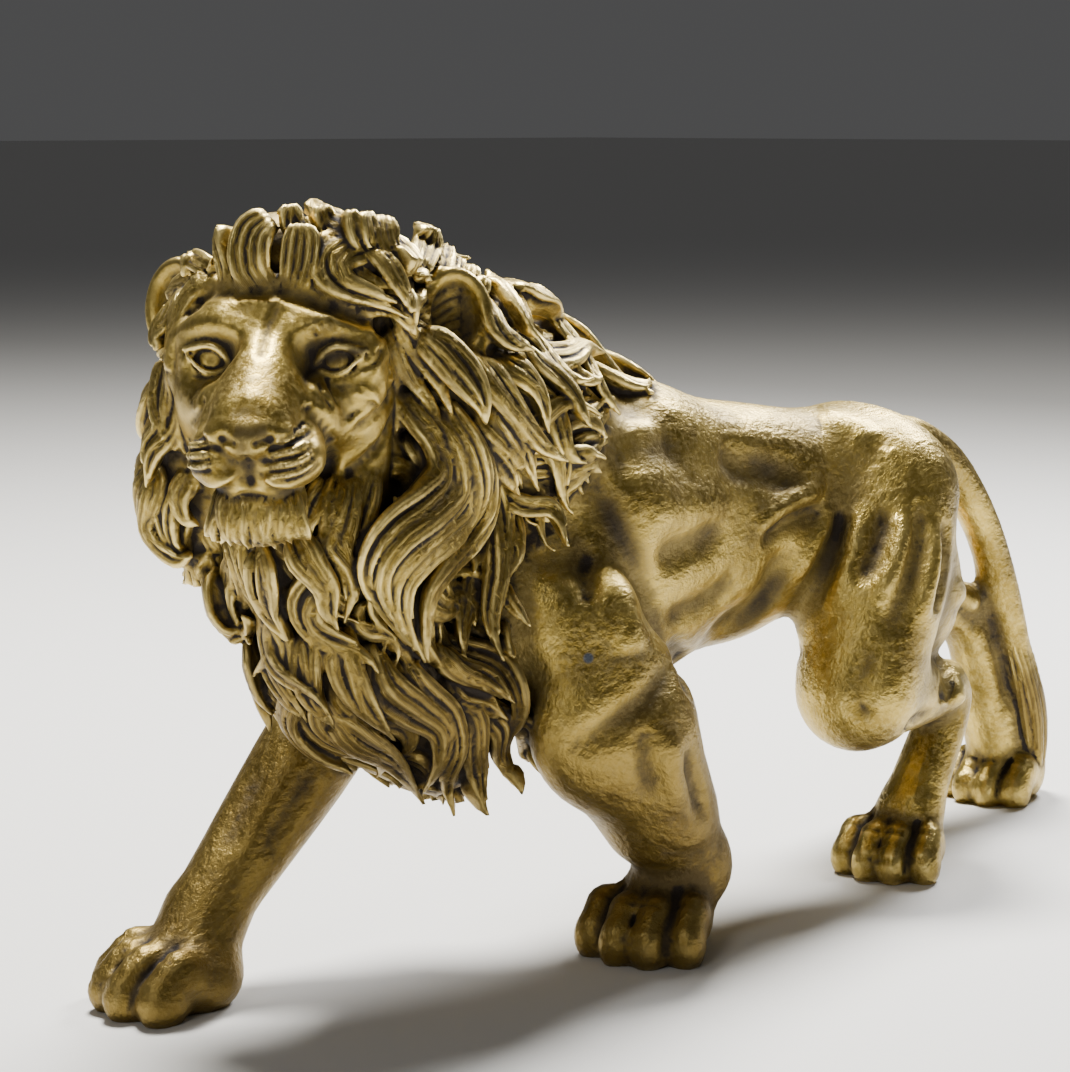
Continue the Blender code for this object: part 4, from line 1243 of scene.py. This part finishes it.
def largest_piece(points, quads):
    """Drops crumbs and the walls of sealed pockets: keeps the largest connected skin."""
    label = np.arange(len(points))
    ends = np.concatenate([quads[:, [0, 1]], quads[:, [1, 2]], quads[:, [2, 3]]])
    while True:
        lowest = np.minimum(label[ends[:, 0]], label[ends[:, 1]])
        before = label.copy()
        np.minimum.at(label, ends[:, 0], lowest)
        np.minimum.at(label, ends[:, 1], lowest)
        label = label[label]
        if (label == before).all():
            break
    main = np.bincount(label).argmax()
    kept = label == main
    number = np.cumsum(kept) - 1
    return points[kept], number[quads[kept[quads[:, 0]]]]


def mesh_of(points, quads, name):
    mesh = bpy.data.meshes.new(name)
    mesh.vertices.add(len(points))
    mesh.vertices.foreach_set("co", points.astype(np.float32).ravel())
    mesh.loops.add(4 * len(quads))
    mesh.loops.foreach_set("vertex_index", quads.astype(np.int32).ravel())
    mesh.polygons.add(len(quads))
    mesh.polygons.foreach_set("loop_start", np.arange(0, 4 * len(quads), 4, dtype=np.int32))
    mesh.update(calc_edges=True)
    return mesh


def thinned(obj, triangles, in_face):
    """Collapses the mesh's edges where it is smooth, to a number of triangles, and spares the face."""
    have = sum(len(polygon.vertices) - 2 for polygon in obj.data.polygons)
    if have <= triangles:
        return
    group = obj.vertex_groups.new(name="not the face")
    group.add(np.flatnonzero(~in_face).tolist(), 1.0, "REPLACE")
    decimate = obj.modifiers.new("Decimate", "DECIMATE")
    decimate.use_collapse_triangulate = True
    decimate.vertex_group = group.name
    decimate.vertex_group_factor = FACE_SPARED
    decimate.ratio = triangles / have
    graph = bpy.context.evaluated_depsgraph_get()
    mesh = bpy.data.meshes.new_from_object(obj.evaluated_get(graph))
    obj.modifiers.clear()
    old, obj.data = obj.data, mesh
    bpy.data.meshes.remove(old)


# Round a line of painted shade, the points that are looked at lie within this many of its widths and this
# much more.
SHADE_LINE_REACH = (2.5, 6)
# How far along its fade a line of painted shade already is at its ends, as a share of its length.
SHADE_LINE_INSET = 0.05
# How wide the solid round a point is felt, for three sizes of hollow.
CROWDING = {"crowding_near": 1.4, "crowding_wide": 4.0, "crowding_broad": 8.0}
# The distance over which a point counts more and more as hair or face.
SOFT_EDGE = 1.5


def shade_and_wash_lines():
    """All lines of painted shade and shadow, and of the wash in the whisker lines: the line in pixels, its
    width, strength and fade.
    """
    for pixels, width, deep in HOLLOWS.values():
        yield pixels, HOLLOW_SHADE_WIDTH * width, HOLLOW_SHADE_STRENGTH * deep, SHADE_LINE_FADE
    for pixels, width, strength in FACE_PAINTED_SHADE.values():
        yield pixels, width, strength, LINE_FADE
    for row in WHISKER_ROWS.values():
        for ends in whisker_ticks(row):
            yield ends, TICK_WIDTH, TICK_STAIN, LINE_FADE
    for pixels in WHISKER_LINES.values():
        yield pixels, WHISKER_WIDTH, WHISKER_STAIN, LINE_FADE


def traits(field, body, haired, places):
    """What the material reads at each point: how deep it lies, what it belongs to, its strand, and its
    painted shade and wash.
    """
    painted_shade_and_wash = np.zeros(len(places))
    for pixels, width, strength, fade in shade_and_wash_lines():
        line = seen_line(field, pixels)
        reach = np.ptp(line, axis=0) / 2 + SHADE_LINE_REACH[0] * width + SHADE_LINE_REACH[1]
        near = (np.abs(places - line.mean(0)) < reach).all(1)
        own = soft_line(line, width, strength, fade, *places[near].T, inset=SHADE_LINE_INSET)
        painted_shade_and_wash[near] = np.maximum(painted_shade_and_wash[near], own)
    slope = np.linalg.norm(field.slope(field.strand, places), axis=1) / (2 * field.step)
    crowding = {name: field.read(field.crowding(reach), places) for name, reach in CROWDING.items()}
    return {
        **crowding,
        "in_hair": np.clip(field.read(body, places) / SOFT_EDGE, 0, 1),
        "in_face": np.clip(field.read(haired, places) / SOFT_EDGE, 0, 1),
        "strand": field.read(field.strand, places),
        "steady": np.clip(2.2 - slope * STRAND_WIDTH / 2, 0, 1),
        "painted_shade_and_wash": painted_shade_and_wash,
    }


def new_object(name, data):
    obj = bpy.data.objects.new(name, data)
    bpy.context.scene.collection.objects.link(obj)
    return obj


def lion():
    field, body, haired = sculpt(FULL_STEP)
    points, quads = largest_piece(*field.skin())
    obj = new_object("lion_carved", mesh_of((points - MIDDLE) * SCALE, quads, "lion_carved"))
    thinned(obj, TRIANGLES, field.read(haired, points) > 0.2)
    mesh = obj.data
    places = np.empty(3 * len(mesh.vertices), np.float32)
    mesh.vertices.foreach_get("co", places)
    places = places.reshape(-1, 3) / SCALE + MIDDLE
    for name, value in traits(field, body, haired, places).items():
        layer = mesh.attributes.new(name, "FLOAT", "POINT")
        layer.data.foreach_set("value", value.astype(np.float32))
    mesh.shade_smooth()
    mesh.materials.append(antique_gold(seen_on(field, [CHIP_PX])[0]))
    return obj


# The gold: bright on the ridges from wear and as painted highlight, its own colour on the flats,
# darker low down as painted shade, and a dark wash in the hollows, with painted shade in the wider ones.
BRIGHT_GOLD = (0.88, 0.69, 0.25, 1)
GOLD = (0.50, 0.36, 0.085, 1)
DEEP_GOLD = (0.24, 0.165, 0.032, 1)
# Painted shade: the darker gold low on the mane and on the forelegs.
SHADED_GOLD = (0.15, 0.098, 0.026, 1)
# The dark wash, which also stands for painted shade in the wider hollows and along the drawn lines.
DARK_WASH_AND_SHADE = (0.020, 0.013, 0.008, 1)
# The small chip: its colour, its place in the picture, and the radii where it begins and is full, in metres.
CHIP = (0.050, 0.060, 0.075, 1)
CHIP_PX = (588, 658)
CHIP_EDGE = (0.0021, 0.0012)
# The noises of the paint: scale, detail and roughness, and for the fur how it is stretched.
BLOTCHES = (38, 4, 0.55)
SPECKS = (520, 4, 0.65)
FLAKES = (150, 5, 0.7)
FUR = (300, 3, 0.6)
FUR_STRETCH = (0.45, 1.3, 0.8)
# The solid round a point where the darkening begins and where it is full, for the three sizes of hollow:
# wash in the crevices, and wash with painted shade in the wider and the broad hollows.
CREVICE = (0.46, 0.61)
SHADE = (0.48, 0.66)
BROAD_SHADE = (0.45, 0.56)
# The solid round a point where the ridges' wear and painted highlight begin and where they are full.
WORN_AND_HIGHLIT = (0.46, 0.33)
# The strength of a line of painted shade and wash where it begins to show and where it is full.
SHADE_AND_WASH_EDGE = (0.1, 1.2)
# The noise's values between which blotches and specks change over.
BLOTCH_EDGE = (0.40, 0.60)
SPECK_EDGE = (0.4, 0.7)
# Heights and places along the lion between which the gold is painted darker as shade, low on the mane and on
# the forelegs, in metres.
SHADED_MANE_HEIGHT = (0.150, 0.085)
SHADED_LEG_HEIGHT = (0.11, 0.06)
SHADED_LEG_PLACE = (0.03, -0.03)


class Value:
    """A number that a material works out at each point. It adds, subtracts and multiplies as numbers do."""

    def __init__(self, nodes, socket):
        self.nodes = nodes
        self.socket = socket

    def __add__(self, other):
        return self.nodes.math("ADD", self, other)

    def __sub__(self, other):
        return self.nodes.math("SUBTRACT", self, other)

    def __mul__(self, other):
        return self.nodes.math("MULTIPLY", self, other)

    def __radd__(self, other):
        return self.nodes.math("ADD", other, self)

    def __rsub__(self, other):
        return self.nodes.math("SUBTRACT", other, self)

    def __rmul__(self, other):
        return self.nodes.math("MULTIPLY", other, self)

    def most(self, other):
        return self.nodes.math("MAXIMUM", self, other)


class Nodes:
    """A new material, with short forms for its nodes."""

    def __init__(self, name):
        self.material = bpy.data.materials.new(name)
        self.material.use_nodes = True
        self.tree = self.material.node_tree
        self.shader = self.tree.nodes["Principled BSDF"]

    def put(self, node, inputs):
        """Joins or sets a node's inputs, each by its name or number."""
        for key, value in inputs.items():
            if isinstance(value, Value):
                self.tree.links.new(value.socket, node.inputs[key])
            else:
                node.inputs[key].default_value = value

    def add(self, kind, inputs, output=0, **settings):
        """Adds a node and gives one of its outputs."""
        node = self.tree.nodes.new(kind)
        for name, value in settings.items():
            setattr(node, name, value)
        self.put(node, inputs)
        return Value(self, node.outputs[output])

    def value(self, name):
        return self.add("ShaderNodeAttribute", {}, "Fac", attribute_name=name)

    def math(self, operation, a, b=0.0):
        return self.add("ShaderNodeMath", {0: a, 1: b}, operation=operation)

    def ramp(self, value, low, high):
        """A smooth rise from 0 to 1 between a low and a high value, or a fall where low is the higher."""
        return self.add("ShaderNodeMapRange", {0: value, 1: low, 2: high}, interpolation_type="SMOOTHSTEP")

    def mix(self, share, a, b):
        return self.add("ShaderNodeMix", {0: share, 6: a, 7: b}, 2, data_type="RGBA")

    def place(self):
        return self.add("ShaderNodeTexCoord", {}, "Object")

    def along(self, axis):
        return self.add("ShaderNodeSeparateXYZ", {0: self.place()}, axis)

    def noise(self, scale, detail, roughness, stretch=(1, 1, 1)):
        place = self.add("ShaderNodeMapping", {"Vector": self.place(), "Scale": stretch})
        settings = {"Vector": place, "Scale": scale, "Detail": detail, "Roughness": roughness}
        return self.add("ShaderNodeTexNoise", settings, "Fac")


def antique_gold(chip_at):
    """The gold paint, rubbed on the ridges, with painted shade and highlight, and a small chip at a place on
    the surface.
    """
    nodes = Nodes("antique gold")
    near, wide, broad = [nodes.value(name) for name in CROWDING]
    hair, face, strand = [nodes.value(name) for name in ("in_hair", "in_face", "strand")]
    blotch, speck, flakes = [nodes.noise(*noise) for noise in (BLOTCHES, SPECKS, FLAKES)]
    fur = nodes.noise(*FUR, FUR_STRETCH)

    # The mane without the face, the part of it where strands run clean, and the skin that is neither.
    combed = hair * (1 - face)
    lined = combed * nodes.value("steady")
    bare = 1 - hair.most(face)
    cleft = 0.5 * nodes.math("COSINE", np.pi * strand) + 0.5
    fine = nodes.math("SINE", 5 * np.pi * strand)

    # Where the dark wash and the painted shade lie, and where the ridges are rubbed bright and painted as
    # highlit.
    grainy = 0.14 * (speck - 0.5)
    noisy = 0.10 * (blotch - 0.5) + grainy
    crevice = nodes.ramp(near + noisy, *CREVICE)
    shade = 0.9 * nodes.ramp(wide + noisy, *SHADE)
    broad_shade = 0.6 * (bare * nodes.ramp(broad + noisy, *BROAD_SHADE))
    # Lines of painted shade and shadow, and the wash in the whisker lines.
    lined_shade_and_wash = nodes.ramp(nodes.value("painted_shade_and_wash") + 3.0 * noisy, *SHADE_AND_WASH_EDGE)
    between = nodes.math("POWER", cleft, 3.0) * (0.45 * lined)
    dark = crevice.most(shade).most(broad_shade).most(lined_shade_and_wash.most(between))
    worn_and_highlit = nodes.ramp(near + grainy, *WORN_AND_HIGHLIT)

    # The mane's lower locks and the forelegs are painted darker, as shade, and the forelegs are a little
    # rougher.
    height = nodes.along("Z")
    shaded_low_mane = combed * nodes.ramp(height, *SHADED_MANE_HEIGHT)
    shaded_legs = nodes.ramp(nodes.along("X"), *SHADED_LEG_PLACE) * nodes.ramp(height, *SHADED_LEG_HEIGHT)

    tone = nodes.mix(nodes.ramp(blotch, *BLOTCH_EDGE), GOLD, DEEP_GOLD)
    tone = nodes.mix(0.55 * combed, tone, DEEP_GOLD)
    tone = nodes.mix(0.35 * nodes.ramp(speck, *SPECK_EDGE), tone, BRIGHT_GOLD)
    # The ridges made brighter, from wear and as painted highlight.
    tone = nodes.mix(worn_and_highlit, tone, BRIGHT_GOLD)
    # Painted shade: darker low on the mane and on the forelegs.
    tone = nodes.mix(0.75 * shaded_low_mane.most(shaded_legs), tone, SHADED_GOLD)
    tone = nodes.mix(dark, tone, DARK_WASH_AND_SHADE)
    chip = chip_mask(nodes, chip_at)

    relief = fur * (0.25 + 1.1 * bare) + 0.45 * speck + flakes * bare
    relief = relief + 0.05 * (fine * lined) - 0.35 * (cleft * lined)
    looks = {
        "Base Color": nodes.mix(chip, tone, CHIP),
        "Roughness": 0.25 + 0.35 * dark + 0.20 * speck + 0.08 * shaded_legs,
        "Metallic": 0.95 - 0.55 * dark - 0.9 * chip,
        "Normal": nodes.add("ShaderNodeBump", {"Strength": 0.55, "Distance": 0.0010, "Height": relief}),
    }
    nodes.put(nodes.shader, looks)
    return nodes.material


def chip_mask(nodes, spot):
    """One on the small worn spot of the left shoulder, and none elsewhere."""
    ends = {0: nodes.place(), 1: (spot - MIDDLE) * SCALE}
    away = nodes.add("ShaderNodeVectorMath", ends, "Value", operation="DISTANCE")
    return nodes.ramp(away, *CHIP_EDGE)


FLOOR_HALF = 30.0
FLOOR_COLOUR = (0.66, 0.65, 0.63, 1)
FLOOR_ROUGHNESS = 0.7


def floor():
    mesh = bpy.data.meshes.new("floor")
    form = bmesh.new()
    bmesh.ops.create_grid(form, x_segments=1, y_segments=1, size=FLOOR_HALF)
    form.to_mesh(mesh)
    form.free()
    nodes = Nodes("floor")
    nodes.put(nodes.shader, {"Base Color": FLOOR_COLOUR, "Roughness": FLOOR_ROUGHNESS})
    mesh.materials.append(nodes.material)
    new_object("floor", mesh)


# The round lamps: place, size across, power and colour. All of them point at one place in the lion.
LAMPS = {
    "key": ((0.12, 0.42, 1.45), 0.5, 76, (1, 0.98, 0.93)),
    "front": ((-1.25, -0.5, 1.0), 0.4, 3.5, (1, 0.98, 0.95)),
    "side": ((0.9, 0.2, 0.9), 0.4, 26, (1, 1, 1)),
}
LIT_PLACE = (-0.02, 0, 0.12)
ROOM_COLOUR = (0.78, 0.78, 0.79, 1)
ROOM_STRENGTH = 0.10


def light(name, at, size, power, colour):
    data = bpy.data.lights.new(name, "AREA")
    data.shape = "DISK"
    data.size = size
    data.energy = power
    data.color = colour
    obj = new_object(name, data)
    obj.location = at
    obj.rotation_euler = (Vector(LIT_PLACE) - Vector(at)).to_track_quat("-Z", "Y").to_euler()


def stage():
    floor()
    for name, lamp in LAMPS.items():
        light(name, *lamp)
    world = bpy.data.worlds.new("studio")
    bpy.context.scene.world = world
    world.use_nodes = True
    background = world.node_tree.nodes["Background"]
    background.inputs["Color"].default_value = ROOM_COLOUR
    background.inputs["Strength"].default_value = ROOM_STRENGTH


def camera():
    data = bpy.data.cameras.new("camera")
    data.sensor_fit = "HORIZONTAL"
    data.sensor_width = SENSOR_WIDTH
    data.lens = EYE_FOCUS_PX / PICTURE_WIDTH_PX * SENSOR_WIDTH
    obj = new_object("camera", data)
    obj.location = (EYE - MIDDLE) * SCALE
    obj.rotation_euler = (np.pi / 2 - EYE_TILT, 0, -EYE_YAW)
    bpy.context.scene.camera = obj


def main():
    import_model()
    camera()
    stage()
    piece = lion()
    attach(piece, "root")
    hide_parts("lion")
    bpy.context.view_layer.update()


main()
